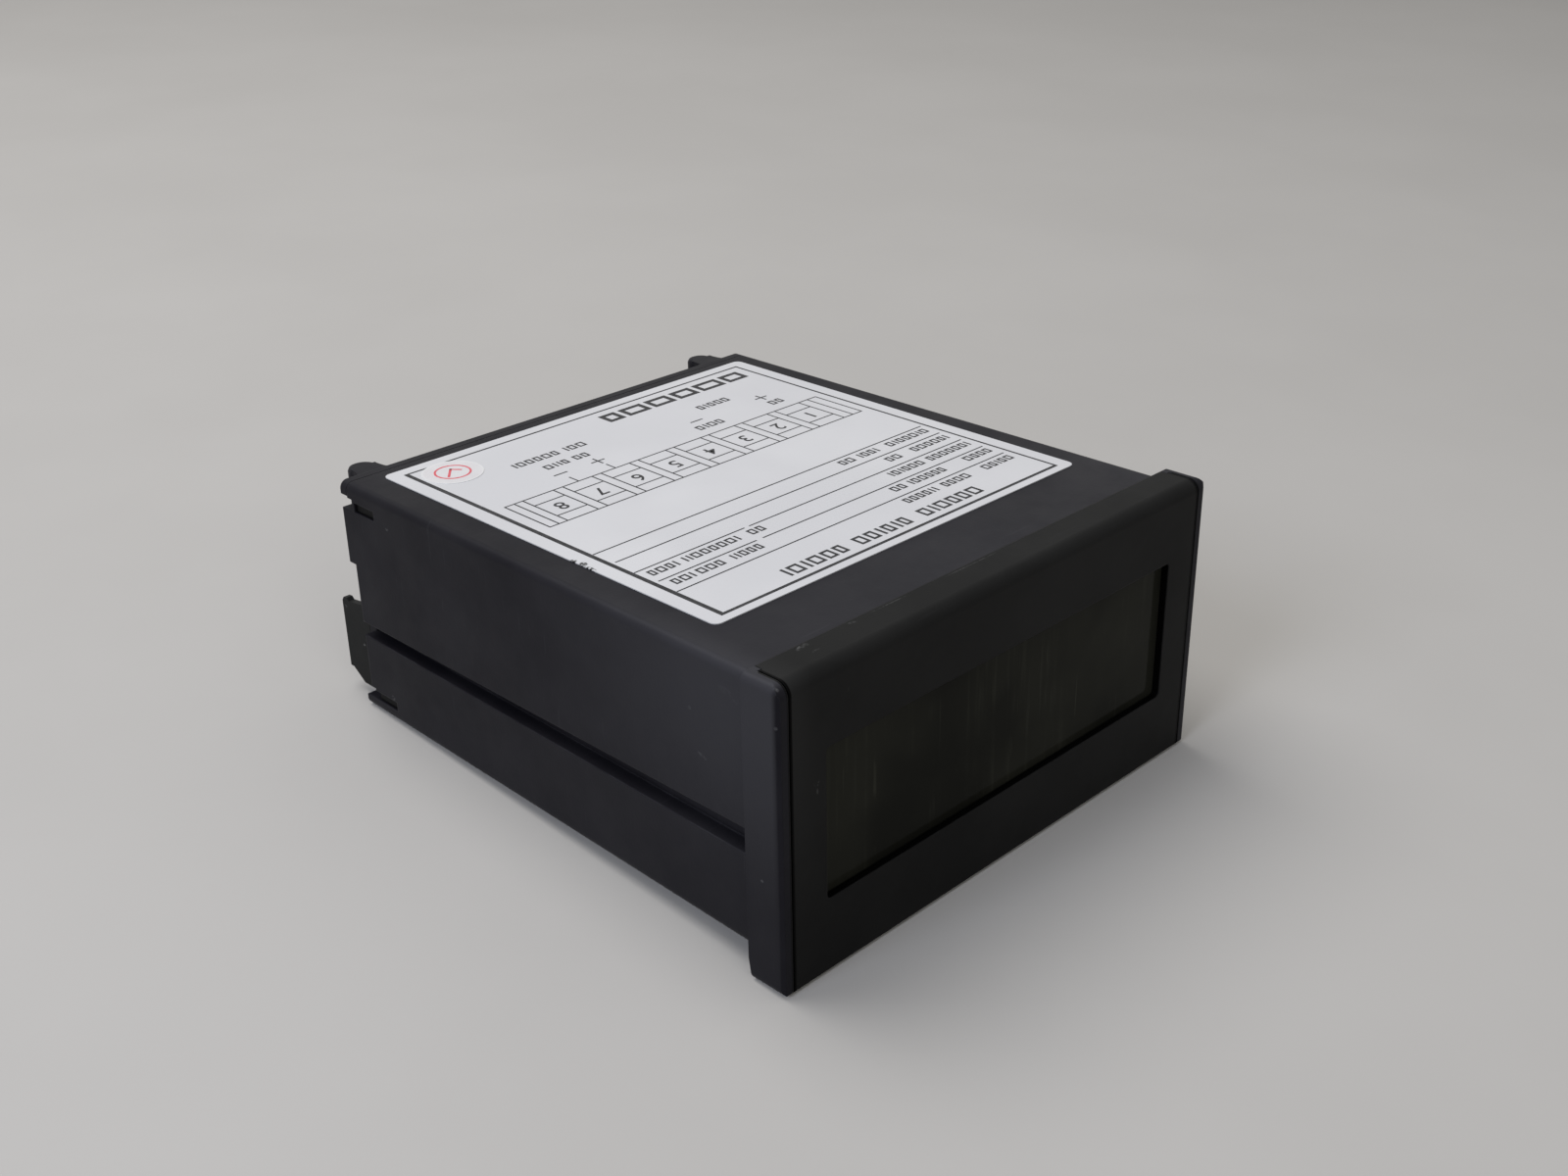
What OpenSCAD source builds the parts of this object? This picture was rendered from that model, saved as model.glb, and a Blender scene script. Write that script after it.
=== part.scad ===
// Digital panel meter for a 92 x 45 mm panel cut-out.
// X runs across the front, Y from the front towards the terminals, Z up.
// The shapes are drawn with the front face at Y = 0, and place() centres the whole in depth.

/* [Front] */
// Width of the front, over the two cheeks
bezel_w = 96; // [95:0.5:98]
// Height of the front
bezel_h = 48; // [47.6:0.2:50]
// Depth of the front flange ahead of the panel
flange_d = 6.8; // [6.4:0.1:8]
// Width of the display window
window_w = 78.6; // [70:0.2:80]
// Height of the display window
window_h = 24; // [22:0.2:26]
// Depth of the window recess
recess_d = 1.3; // [1:0.1:2.4]

/* [Case] */
// Width of the case just behind the panel
case_w = 92.4; // [91.6:0.2:92.6]
// Height of the case just behind the panel
case_h = 43.3; // [43:0.1:44]
// Length from the front face to the rear edge of the case
case_d = 104.2; // [102:0.2:112]
// Thickness of the case walls
wall = 2; // [1.8:0.1:2.1]
// Radius of the long edges of the case
edge_r = 1.4; // [1:0.1:1.8]
// Draft of each side wall over the length of the case
side_draft = 0.9; // [0.5:0.1:1]
// Draft of the bottom wall over the length of the case
floor_draft = 1.6; // [1.2:0.1:1.8]

/* [Clamp grooves] */
// Height of each clamp groove at the flange
groove_front_h = 4.1; // [3.6:0.1:4.4]
// Height of each clamp groove at the rear
groove_rear_h = 2.4; // [2:0.1:2.8]
// Depth of the groove floor
groove_d = 2.2; // [1.8:0.1:2.3]

/* [Terminals] */
// Room beside the row of terminals, from its end fin to the inside of the case
terminal_end = 5.3; // [5.1:0.1:6]
// Thickness of the fins between the terminals
fin_t = 1.5; // [1.3:0.1:1.6]
// How far the fins stand out behind the case
term_d = 8.1; // [7.6:0.1:9]
// Radius of the terminal screw thread
screw_r = 1.5; // [1.3:0.1:1.5]

/* [Nameplate] */
// Bare strip between the nameplate and the rounded edge of the case
plate_margin = 3.65; // [3.3:0.05:6]
// Length of the nameplate
plate_l = 80; // [70:0.1:80]

/* [Hidden] */
terminal_count = 8;
digit_count = 4;
clearance = 0.15;   // between pieces that are fitted together and stay still
seam = 0.25;        // open joint between a cheek and the bezel
moving_gap = 0.3;   // between pieces that move past each other
running_fit = 0.05; // radial clearance of a turning fit
skin = 0.01;        // thickness of the end slices that a drafted hull joins
over = 1;           // how far a cutter runs past the face it cuts

// Front flange
cheek_t = 1.9;
cheek_in = bezel_w / 2 - cheek_t;
bezel_half = cheek_in - seam;
lip_half = bezel_half - 0.6;
bezel_d = 5.4;
sleeve_y = bezel_d + clearance;
front_round = 2;      // long top edge of the front
foot_round = 0.4;     // long bottom edge of the front
long_round = 1.3;     // outer edges of the cheeks
window_r = 0.8;       // corners of the window
foot_set_back = 0.5;

// Case: half widths and heights at its two ends
case_top = bezel_h - 1.1;
front_half = case_w / 2;
rear_half = front_half - side_draft;
front_floor = case_top - case_h;
rear_floor = front_floor + floor_draft;
inner_top = case_top - wall;
inner_r = 0.35;
inner_half = rear_half - wall;
board_z = rear_floor + wall + 1.4;

// Rear edge of the side walls, which are cut back beside the terminals
rim_d = 1.8;
cut_low_z = rear_floor + 4.1;
cut_high_z = rear_floor + 27.2;
latch_notch_d = 3;
latch_notch_h = 2.1;
upper_latch_z = case_top - 4.6;
lower_latch_z = rear_floor + wall + 0.1;
latch_h = 1.7;
latch_l = 5.6;
latch_y = case_d - 9.3;

// Clamp grooves
groove_mid_z = bezel_h / 2 - 3.1;
slit_d = groove_d + 0.5;
slit_h = 0.9;
rib_h = 7;
rib_in = 1.5;

// Board slots in the case walls
guide_h = 1;
board_half = inner_half - 1.5;
guide_half = board_half - 1;
board_t = 1.6;
board_top = board_z + board_t;
hole_play = 0.2;

// Terminal block, which shares out the width inside the case
term_low = board_z - 1.5;
term_h = 16.2;
term_top = term_low + term_h;
term_half = inner_half - clearance;
term_floor_y = case_d + 1.4;        // floor of the terminal bays
term_face_y = case_d + 0.1;         // face that bears on the rear cover
terminal_pitch = 2 * (inner_half - terminal_end) / terminal_count;
bay_w = terminal_pitch - fin_t;
screw_z = term_low + term_h / 2;
neck_half = inner_half - 2.1;
neck_low = board_top + 0.1;
neck_y = case_d - 7;
end_plate_t = 1.2;
contact_t = 1;
contact_w = bay_w - 0.8;
contact_h = 10.4;
tail_w = 2;
tail_t = 0.8;
pin_r = 0.5;
pin_y = neck_y + 2;
clamp_t = 1;
clamp_h = 7.2;
clamp_y = term_floor_y + contact_t + moving_gap;
clamp_w = bay_w - 2 * moving_gap;
clamp_edge = 0.6;
clamp_rise = 0.7;
head_y = clamp_y + clamp_t + 0.1;
head_r = clamp_w / 2 - clamp_edge - moving_gap;
head_h = 2.2;
slot_w = 0.8;
slot_d = 1;
shank_l = 6.6;
tip_l = 0.6;

// Rear cover and its two posts
cover_t = 2;
cover_half = inner_half - clearance;
cover_y = case_d - cover_t;
strip_h = wall + 0.2;
post_r = 2.5;
post_x = inner_half - 4.9;
post_y = case_d + 3.9;
post_reach = case_d - post_y;
post_top = case_top - 0.4;
post_foot = post_r + 0.9;  // half width where the post meets the cover
post_low = term_top + 0.2;
arm_t = 0.9;

// Depth of the whole, from the bezel to the ends of the fins
overall_d = case_d + term_d;

// Display, behind the window
lens_t = 2;
lens_lap = 1.4;
digit_pitch = 12.7;
digit_w = digit_pitch - 0.1;
digit_h = 19;
digit_d = 8;
digit_y = recess_d + lens_t + 0.4;
display_y = digit_y + digit_d;
display_z = bezel_h / 2;
display_half = board_half - 2;
board_front = display_y + board_t + 0.4;
board_rear = case_d - 2.6;

// Nameplate
plate_w = 2 * (rear_half - edge_r - plate_margin);
plate_t = 0.15;
plate_r = 1.3;
plate_x = 0.7;
plate_back = 3.9;
plate_y = case_d - plate_back - plate_l;
sticker_r = 5.1;
sticker_x = 8.85;
sticker_y = 7.2;
sticker_t = 0.08;

case_black = "#26272b";
front_black = "#1b1b1c";
smoke = "#20201c";
label_grey = "#cfcfd2";
terminal_black = "#232326";
brass = "#b99a4c";
steel = "#b4b6ba";
board_green = "#1f5a36";
ferrite = "#3a3a3c";

// Frame and general shapes

module place() {
  translate([0, -overall_d / 2, 0]) children();
}

// A block from its lowest to its highest corner
module block(low, high) {
  translate(low) cube(high - low);
}

// The same block on both sides of the centre plane
module both_sides() {
  for (side = [-1, 1]) scale_x(side) children();
}

module scale_x(side) {
  if (side < 0) mirror([1, 0, 0]) children();
  else children();
}

// A cylinder along Y from y0 to y1
module rod_y(r, y0, y1) {
  translate([0, y0, 0]) rotate([-90, 0, 0]) cylinder(r = r, h = y1 - y0, $fn = 48);
}

// A rounded box whose section changes evenly from one end to the other
module drafted_box(y0, half0, low0, y1, half1, low1, top, r) {
  hull() {
    for (end = [[y0, half0, low0], [y1 - skin, half1, low1]])
      for (side = [-1, 1])
        for (z = [end[2] + r, top - r])
          translate([side * (end[1] - r), end[0], z]) rod_y_coarse(r, skin);
  }
}

module rod_y_coarse(r, h) {
  rotate([-90, 0, 0]) cylinder(r = r, h = h, $fn = 32);
}

// Half width and floor height of the case at a depth y
function case_half(y) = front_half - side_draft * (y - flange_d) / (case_d - flange_d);
function case_floor(y) = front_floor + floor_draft * (y - flange_d) / (case_d - flange_d);

// Housing

module case_outside() {
  drafted_box(sleeve_y, case_half(sleeve_y), case_floor(sleeve_y),
    case_d, rear_half, rear_floor, case_top, edge_r);
}

module case_inside() {
  drafted_box(sleeve_y - over, case_half(sleeve_y) - wall, case_floor(sleeve_y) + wall,
    case_d + over, inner_half, rear_floor + wall, inner_top, inner_r);
}

// Side of the flange, a thin wall that runs forward to the front face
module cheek() {
  difference() {
    union() {
      block([cheek_in, 0, 0], [bezel_w / 2, flange_d, bezel_h]);
      // web to the case, and the fillings beside the bezel's lips
      block([front_half - wall, sleeve_y, front_floor], [bezel_w / 2, flange_d, case_top]);
      block([lip_half + clearance, sleeve_y, 0], [bezel_w / 2, flange_d, bezel_h]);
    }
    // rounded long edges, and the edges of the front that the bezel shares
    translate([bezel_w / 2, 0, bezel_h]) edge_cutter(long_round, flange_d);
    translate([bezel_w / 2, 0, 0]) mirror([0, 0, 1]) edge_cutter(long_round, flange_d);
    front_edges();
    // foot set back towards its lower end
    translate([cheek_in - wall - over, flange_d - foot_set_back, 0]) rotate([0, 90, 0])
      linear_extrude(cheek_t + wall + 2 * over)
        polygon([[over, -0.2], [over, foot_set_back + over], [-front_floor, foot_set_back]]);
    // small chamfer down the front corner
    translate([bezel_w / 2, 0, 0]) rotate([0, 0, 45])
      cube([0.7, 0.7, 4 * bezel_h], center = true);
  }
}

// Cutter that rounds an edge along Y whose corner is at the origin
module edge_cutter(r, l) {
  translate([-r, -over, -r]) difference() {
    cube([r + over, l + 2 * over, r + over]);
    rod_y(r, -over, l + 3 * over);
  }
}

// Rounds the long top edge of the front, and eases its bottom edge
module front_edges() {
  translate([0, 0, bezel_h]) front_edge_cutter(front_round);
  mirror([0, 0, 1]) front_edge_cutter(foot_round);
}

// Cutter that rounds an edge along X at the corner of Y = 0 and Z = 0
module front_edge_cutter(r) {
  difference() {
    block([-bezel_w, -over, -r], [bezel_w, r, over]);
    translate([-bezel_w - over, r, -r]) rotate([0, 90, 0])
      cylinder(r = r, h = 2 * (bezel_w + over), $fn = 48);
  }
}

// Clamp groove: a tapered channel that follows the draft of the wall
module clamp_groove(depth, height_share) {
  low_front = groove_mid_z - groove_front_h / 2;
  low_rear = groove_mid_z - groove_rear_h / 2 - 0.3;
  run = case_d + over - flange_d;
  translate([front_half - depth, flange_d, 0])
    rotate([0, 0, atan(side_draft / (case_d - flange_d))]) rotate([90, 0, 90])
      linear_extrude(depth + over) polygon([
        [0.2, low_front], [0.2, low_front + groove_front_h * height_share],
        [run, low_rear + groove_rear_h * height_share], [run, low_rear]
      ]);
}

// Inner rib that backs a groove
module groove_rib() {
  block([inner_half - rib_in, sleeve_y + moving_gap, groove_mid_z - rib_h / 2],
    [front_half - wall / 2, cover_y - moving_gap, groove_mid_z + rib_h / 2]);
}

// Rails above and below the edge of the main board
module board_guides() {
  for (z = [board_z - guide_h - clearance, board_top + clearance])
    block([guide_half, board_front + 4, z], [front_half - wall / 2, latch_y - 6, z + guide_h]);
}

// Openings for the latches, and the cut-backs of the rear edge
module side_openings() {
  for (z = [upper_latch_z, lower_latch_z]) {
    block([inner_half - over, latch_y, z], [front_half + over, latch_y + latch_l, z + latch_h]);
    block([inner_half - over, case_d - latch_notch_d, z],
      [front_half + over, case_d + over, z + latch_notch_h]);
  }
  // the lower opening runs out at the rear edge
  block([inner_half - over, latch_y, lower_latch_z],
    [front_half + over, case_d + over, lower_latch_z + latch_h]);
  block([inner_half - over, case_d - rim_d, cut_low_z],
    [front_half + over, case_d + over, cut_high_z]);
}

module housing() {
  color(case_black) place() {
    difference() {
      union() {
        difference() {
          case_outside();
          case_inside();
        }
        both_sides() cheek();
        intersection() {
          case_outside();
          both_sides() {
            groove_rib();
            board_guides();
          }
        }
      }
      both_sides() {
        clamp_groove(groove_d, 1);
        clamp_groove(slit_d, slit_h / groove_front_h);
        side_openings();
      }
      // rear edge of the top wall, where the cover's strip closes it
      block([-bezel_w, case_d - rim_d, inner_top - over], [bezel_w, case_d + over, bezel_h]);
      // shallow grooves inside the top and the bottom for the bezel's tongues
      for (z = [case_floor(sleeve_y) + wall, inner_top])
        block([-tongue_x - 5, sleeve_y + 3.4, z - 0.6], [tongue_x + 5, sleeve_y + 5, z + 0.6]);
    }
  }
}

// Front bezel

tongue_x = 24;
tongue_w = 9;
tongue_t = 1.2;
tongue_l = 6;

module bezel_outline() {
  difference() {
    union() {
      block([-bezel_half, 0, 0], [bezel_half, bezel_d, bezel_h]);
      // lips that run back over and under the case
      block([-lip_half, 0, case_top + clearance], [lip_half, flange_d, bezel_h]);
      block([-lip_half, 0, 0], [lip_half, flange_d, front_floor - clearance]);
    }
    front_edges();
    // rear edge of the bottom lip follows the cheeks
    translate([-bezel_w, flange_d - foot_set_back, 0]) rotate([0, 90, 0])
      linear_extrude(2 * bezel_w)
        polygon([[over, -0.2], [over, foot_set_back + over], [-front_floor, foot_set_back]]);
  }
}

// Opening of the window, with rounded corners
module window_cutter() {
  half = window_w / 2;
  half_h = window_h / 2;
  translate([0, 0, display_z]) {
    block([window_r - half, -over, -half_h], [half - window_r, bezel_d + over, half_h]);
    block([-half, -over, window_r - half_h], [half, bezel_d + over, half_h - window_r]);
    for (x = [window_r - half, half - window_r]) for (z = [window_r - half_h, half_h - window_r])
      translate([x, 0, z]) rod_y(window_r, -over, bezel_d + over);
  }
}

module bezel_tongue(z, outward) {
  low = outward > 0 ? z - tongue_t : z;
  block([-tongue_w / 2, bezel_d - over, low], [tongue_w / 2, bezel_d + tongue_l, low + tongue_t]);
  bump = outward > 0 ? z - 0.1 : z - 0.35;
  block([-tongue_w / 2 + 1, sleeve_y + 3.7, bump], [tongue_w / 2 - 1, sleeve_y + 4.7, bump + 0.45]);
}

module front_bezel() {
  color(front_black) place() {
    difference() {
      bezel_outline();
      // window, the seat of the lens behind it, and the hollow back
      window_cutter();
      block([-lens_half - clearance, recess_d, lens_low - clearance],
        [lens_half + clearance, bezel_d + over, lens_high + clearance]);
      block([-lens_half - 1.2, recess_d + lens_t, front_floor + wall + 1.6],
        [lens_half + 1.2, bezel_d + over, inner_top - 3.4]);
    }
    // tongues that snap into the case
    for (x = [-tongue_x, tongue_x]) translate([x, 0, 0]) {
      bezel_tongue(inner_top - 0.1, 1);
      bezel_tongue(case_floor(sleeve_y + tongue_l) + wall + 0.15, -1);
    }
  }
}

// Smoked window

lens_half = window_w / 2 + lens_lap;
lens_low = display_z - window_h / 2 - lens_lap;
lens_high = display_z + window_h / 2 + lens_lap;

module display_window() {
  color(smoke) place()
    block([-lens_half, recess_d, lens_low], [lens_half, recess_d + lens_t, lens_high]);
}

// Nameplate and sticker on the top of the case

module rounded_plate(w, l, r, t) {
  for (inset = [[r, 0], [0, r]])
    translate([inset[0], inset[1], 0]) cube([w - 2 * inset[0], l - 2 * inset[1], t]);
  for (x = [r, w - r]) for (y = [r, l - r])
    translate([x, y, 0]) cylinder(r = r, h = t, $fn = 32);
}

module nameplate() {
  color(label_grey) place()
    translate([plate_x - plate_w / 2, plate_y, case_top])
      rounded_plate(plate_w, plate_l, plate_r, plate_t);
}

module inspection_sticker() {
  color("#d8c9c9") place()
    translate([plate_x - plate_w / 2 + sticker_x, plate_y + plate_l - sticker_y, case_top + plate_t])
      cylinder(r = sticker_r, h = sticker_t, $fn = 48);
}

// Rear cover: plate, top strip, snap arms and two round posts

module cover_arm(z) {
  block([cover_half - arm_t, latch_y - 0.6, z + 0.1], [cover_half, cover_y + over, z + latch_h + 0.3]);
  block([cover_half - arm_t, latch_y + clearance, z + clearance],
    [inner_half + wall * 0.85, latch_y + latch_l - clearance, z + latch_h - clearance]);
}

module cover_post() {
  translate([post_x, post_y, post_low]) {
    rotate_extrude($fn = 64) polygon([
      [0, 0], [post_r, 0], [post_r, post_top - post_low - 0.7],
      [post_r - 0.25, post_top - post_low - 0.2], [post_r - 0.8, post_top - post_low],
      [0, post_top - post_low]
    ]);
    // foot that spreads to the cover
    linear_extrude(post_top - post_low) both_sides() polygon([
      [-over, 0], [0.97 * post_r, 0], [0.97 * post_r, 0.25 * post_reach],
      [1.04 * post_r, 0.6 * post_reach], [(post_foot + post_r) / 2, 0.87 * post_reach],
      [post_foot, post_reach], [post_foot, post_reach - over], [-over, post_reach - over]
    ]);
  }
}

module rear_cover() {
  color(case_black) place() {
    difference() {
      block([-cover_half, cover_y, rear_floor + wall + clearance],
        [cover_half, case_d, inner_top - clearance]);
      // opening around the neck of the terminal block
      block([-neck_half - clearance, cover_y - over, neck_low - clearance],
        [neck_half + clearance, case_d + over, term_top - 0.1 + clearance]);
    }
    both_sides() {
      cover_arm(upper_latch_z);
      cover_arm(lower_latch_z);
      cover_post();
    }
    // strip that closes the top of the case
    intersection() {
      drafted_box(case_d - rim_d + 0.1, rear_half, case_top - 12, case_d + skin, rear_half,
        case_top - 12, case_top, edge_r);
      block([-bezel_w, cover_y, inner_top - 0.2], [bezel_w, case_d + skin, bezel_h]);
    }
  }
}

// Terminal block

// Its ends: a flat profile with a sloping lower corner and a small nib on top
module end_profile() {
  rear = case_d + term_d;
  polygon([
    [term_face_y, term_low], [rear - 4, term_low], [rear - 0.9, term_low + 2.1],
    [rear, term_low + 2.1], [rear, term_top - 1.4], [rear - 0.5, term_top - 0.7],
    [rear - 1.4, term_top - 0.6], [rear - 2, term_top - 1.1], [term_face_y, term_top - 0.2]
  ]);
}

module end_slice(x0, x1) {
  translate([x0, 0, 0]) rotate([90, 0, 90]) linear_extrude(x1 - x0) end_profile();
}

function terminal_x(n) = (n - (terminal_count + 1) / 2) * terminal_pitch;

module terminal_block() {
  color(terminal_black) place() difference() {
    union() {
      // neck through the cover, then the wide outer part
      block([-neck_half, neck_y, neck_low], [neck_half, term_floor_y, term_top - 0.2]);
      block([-term_half, term_face_y, term_low], [term_half, term_floor_y, term_top - 0.2]);
      for (n = [0:terminal_count])
        translate([terminal_x(n + 0.5) - fin_t / 2, 0, 0]) end_slice(0, fin_t);
      both_sides() end_slice(term_half - end_plate_t, term_half);
      both_sides() block([neck_half - 3, term_floor_y - 1, term_low + 2.6],
        [term_half, term_floor_y + 1.6, term_top - 2.6]);
    }
    for (n = [1:terminal_count]) translate([terminal_x(n), 0, 0]) {
      translate([0, 0, screw_z]) rod_y(screw_r + 0.4, neck_y + 1.2, term_floor_y + over);
      // channel for the tail of the contact
      block([-tail_w / 2 - clearance, pin_y - pin_r - 0.3, neck_low - over],
        [tail_w / 2 + clearance, term_floor_y + over, neck_low + tail_t + 2 * clearance]);
    }
  }
}

// Contact n: face plate with the thread, tail through the block and pin into the board
module terminal_contact(n) {
  color(brass) place() translate([terminal_x(n), 0, 0]) {
    difference() {
      block([-contact_w / 2, term_floor_y, screw_z - contact_h / 2],
        [contact_w / 2, term_floor_y + contact_t, screw_z + contact_h / 2]);
      translate([0, 0, screw_z])
        rod_y(screw_r + running_fit, term_floor_y - over, term_floor_y + contact_t + over);
    }
    tail_z = neck_low + clearance;
    block([-tail_w / 2, pin_y - pin_r, tail_z],
      [tail_w / 2, term_floor_y + contact_t / 2, tail_z + tail_t]);
    translate([0, pin_y, board_z - 0.9])
      cylinder(r = pin_r, h = tail_z + tail_t / 2 - board_z + 0.9, $fn = 24);
  }
}

// Clamp plate n: square washer held on its screw
module wire_clamp(n) {
  color(steel) place() translate([terminal_x(n), 0, screw_z]) difference() {
    union() {
      block([-clamp_w / 2, clamp_y, -clamp_h / 2], [clamp_w / 2, clamp_y + clamp_t, clamp_h / 2]);
      // turned-up edges keep the plate square in its bay
      both_sides() block([clamp_w / 2 - clamp_edge, clamp_y + clamp_t / 2, 1 - clamp_h / 2],
        [clamp_w / 2, clamp_y + clamp_t + clamp_rise, clamp_h / 2 - 1]);
    }
    rod_y(screw_r + 0.2, clamp_y - over, clamp_y + clamp_t + over);
  }
}

// Screw n: low domed head with a crossed slot
module terminal_screw(n) {
  color(steel) place() translate([terminal_x(n), 0, screw_z]) difference() {
    union() {
      translate([0, head_y, 0]) rotate([-90, 0, 0]) rotate_extrude($fn = 64) polygon([
        [0, 0], [head_r, 0], [head_r, head_h * 0.55],
        [head_r * 0.88, head_h * 0.8], [head_r * 0.64, head_h * 0.95], [0, head_h]
      ]);
      rod_y(screw_r, head_y - shank_l + tip_l, head_y + 0.2);
      translate([0, head_y - shank_l, 0]) rotate([-90, 0, 0])
        cylinder(r1 = screw_r * 0.7, r2 = screw_r, h = tip_l, $fn = 48);
    }
    screw_slot(1.1 * head_r);
    rotate([0, 90, 0]) screw_slot(0.6 * head_r);
  }
}

module screw_slot(half) {
  block([-half, head_y + head_h - slot_d, -slot_w / 2],
    [half, head_y + head_h + over, slot_w / 2]);
}

// Boards

module main_board() {
  color(board_green) place() difference() {
    block([-board_half, board_front, board_z], [board_half, board_rear, board_top]);
    for (n = [1:terminal_count]) translate([terminal_x(n), pin_y, board_z - over])
      cylinder(r = pin_r + hole_play, h = board_t + 2 * over, $fn = 24);
    // corners relieved for the cover's lower arms
    both_sides() block([board_half - 1.2, latch_y - 2, board_z - over],
      [board_half + over, board_rear + over, board_top + over]);
  }
}

module display_board() {
  color(board_green) place() difference() {
    block([-display_half, display_y, board_z - 0.4],
      [display_half, display_y + board_t, inner_top - 4.1]);
    for (n = [1:header_count]) translate([header_x(n), 0, header_z])
      rod_y(pin_half + hole_play, display_y - over, display_y + board_t + over);
  }
}

// Seven-segment module n, its segments sunk a little into the face

stroke_t = 1.5;
stroke_l = 5.6;
figure_h = 12.4;
figure_w = 7;
sunk = 0.3;
point_r = 0.75;

module digit(n) {
  color("#3c3c3e") place()
    translate([(n - (digit_count + 1) / 2) * digit_pitch, digit_y, display_z]) difference() {
      block([-digit_w / 2, 0, -digit_h / 2], [digit_w / 2, digit_d - skin, digit_h / 2]);
      slanted() {
        for (z = [-1, 0, 1]) translate([0, 0, z * figure_h / 2]) stroke(stroke_l);
        for (x = [-1, 1]) for (z = [-1, 1])
          translate([x * figure_w / 2, 0, z * figure_h / 4]) rotate([0, 90, 0])
            stroke(stroke_l - 0.6);
      }
      translate([figure_w / 2 + 2 * point_r, 0, -figure_h / 2 - point_r]) rod_y(point_r, -over, sunk);
    }
}

// Lean of the figures, ten degrees to the right
module slanted() {
  multmatrix([[1, 0, tan(10), 0], [0, 1, 0, 0], [0, 0, 1, 0], [0, 0, 0, 1]]) children();
}

module stroke(l) {
  w = stroke_t / 2;
  translate([0, sunk, 0]) rotate([90, 0, 0]) linear_extrude(over)
    polygon([[-l / 2, 0], [-l / 2 + w, w], [l / 2 - w, w], [l / 2, 0], [l / 2 - w, -w],
      [-l / 2 + w, -w]]);
}

// Angle header between the two boards

header_count = 12;
header_pitch = 2.54;
header_l = 2.5;
header_h = 2.6;
header_y = board_front + 2.6;
header_z = board_top + 1.6;
pin_half = 0.32;
leg_y = header_y + header_l + 1.2;

function header_x(n) = (n - (header_count + 1) / 2) * header_pitch;

module header_bar() {
  half = header_count * header_pitch / 2;
  color("#1d1d20") place() difference() {
    block([-half, header_y, board_top], [half, header_y + header_l, board_top + header_h]);
    for (n = [1:header_count]) translate([header_x(n), 0, header_z])
      block([-pin_half, header_y - over, -pin_half],
        [pin_half, header_y + header_l + over, pin_half]);
  }
}

module header_pins() {
  color(brass) place() for (n = [1:header_count]) translate([header_x(n), 0, 0]) {
    block([-pin_half, display_y + moving_gap, header_z - pin_half],
      [pin_half, leg_y, header_z + pin_half]);
    block([-pin_half, leg_y - 2 * pin_half, board_top], [pin_half, leg_y, header_z]);
  }
}

// Trimmers beside the figures, set with a small screwdriver once the bezel is off

trimmer_w = 6.6;
trimmer_x = (digit_count * digit_pitch + trimmer_w) / 2 + 2.8;
trimmer_t = 4.4;
trimmer_apart = 10;
rotor_r = 2.2;
rotor_t = 1.8;

module trimmer(z) {
  color("#2c5a9c") place() translate([trimmer_x, display_y, z]) difference() {
    block([-trimmer_w / 2, -trimmer_t, -trimmer_w / 2], [trimmer_w / 2, -skin, trimmer_w / 2]);
    rod_y(rotor_r + running_fit, -trimmer_t - over, rotor_t + 0.2 - trimmer_t);
  }
}

module rotor(z) {
  color("#e6e2d4") place() translate([trimmer_x, display_y + 0.2 - trimmer_t, z]) difference() {
    rod_y(rotor_r, 0, rotor_t - running_fit);
    block([-0.16 * rotor_r, -over, -0.8 * rotor_r], [0.16 * rotor_r, 0.7, 0.8 * rotor_r]);
  }
}

// Supply transformer: two-window core, bobbin with its feet, and the winding

// Rows of parts behind the display board, and how far in from its sides they stand
row_a = 19.4;
row_b = 37.4;
row_c = 51.4;
row_d = 61.4;
row_e = 73.4;
fuse_in = 5.8;
transformer_in = 20.8;
chip_in = 17.8;

trans_x = transformer_in - board_half;
trans_y = board_front + row_c;
core_half = 10;
core_half_d = 4;
core_low = 2;
core_h = 16;
yoke_t = 3;
leg_half = 2.2;
coil_half = 6.7;
coil_half_d = 8;
tube_t = 1;
cheek_plate = 0.8;
coil_low = core_low + yoke_t + 0.2;
coil_h = core_h - 2 * yoke_t - 0.4;

module at_transformer() {
  place() translate([trans_x, trans_y, board_top]) children();
}

// A ring of square section around the centre leg
module coil_ring(half, half_d, low, h, grow) {
  difference() {
    block([-half, -half_d, low], [half, half_d, low + h]);
    block([-leg_half - grow, -core_half_d - grow, low - over],
      [leg_half + grow, core_half_d + grow, low + h + over]);
  }
}

module transformer_core() {
  color(ferrite) at_transformer() difference() {
    block([-core_half, -core_half_d, core_low], [core_half, core_half_d, core_low + core_h]);
    both_sides() block([leg_half, -core_half_d - over, core_low + yoke_t],
      [coil_half + 0.3, core_half_d + over, core_low + core_h - yoke_t]);
  }
}

module transformer_bobbin() {
  color("#d9d2bf") at_transformer() {
    coil_ring(leg_half + tube_t, core_half_d + tube_t, coil_low, coil_h, clearance);
    for (z = [coil_low, coil_low + coil_h - cheek_plate])
      coil_ring(coil_half, coil_half_d, z, cheek_plate, clearance);
    for (side = [-1, 1]) scale_y(side)
      block([-coil_half, core_half_d + 0.2, 0], [coil_half, coil_half_d, coil_low + 0.1]);
  }
}

module scale_y(side) {
  if (side < 0) mirror([0, 1, 0]) children();
  else children();
}

module transformer_winding() {
  color("#e0c23c") at_transformer()
    coil_ring(coil_half - 0.4, coil_half_d - 0.4, coil_low + cheek_plate + 0.1,
      coil_h - 2 * cheek_plate - 0.2, tube_t + 0.1);
}

// Wound capacitors: a can with a rolled edge and a scored top

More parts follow.
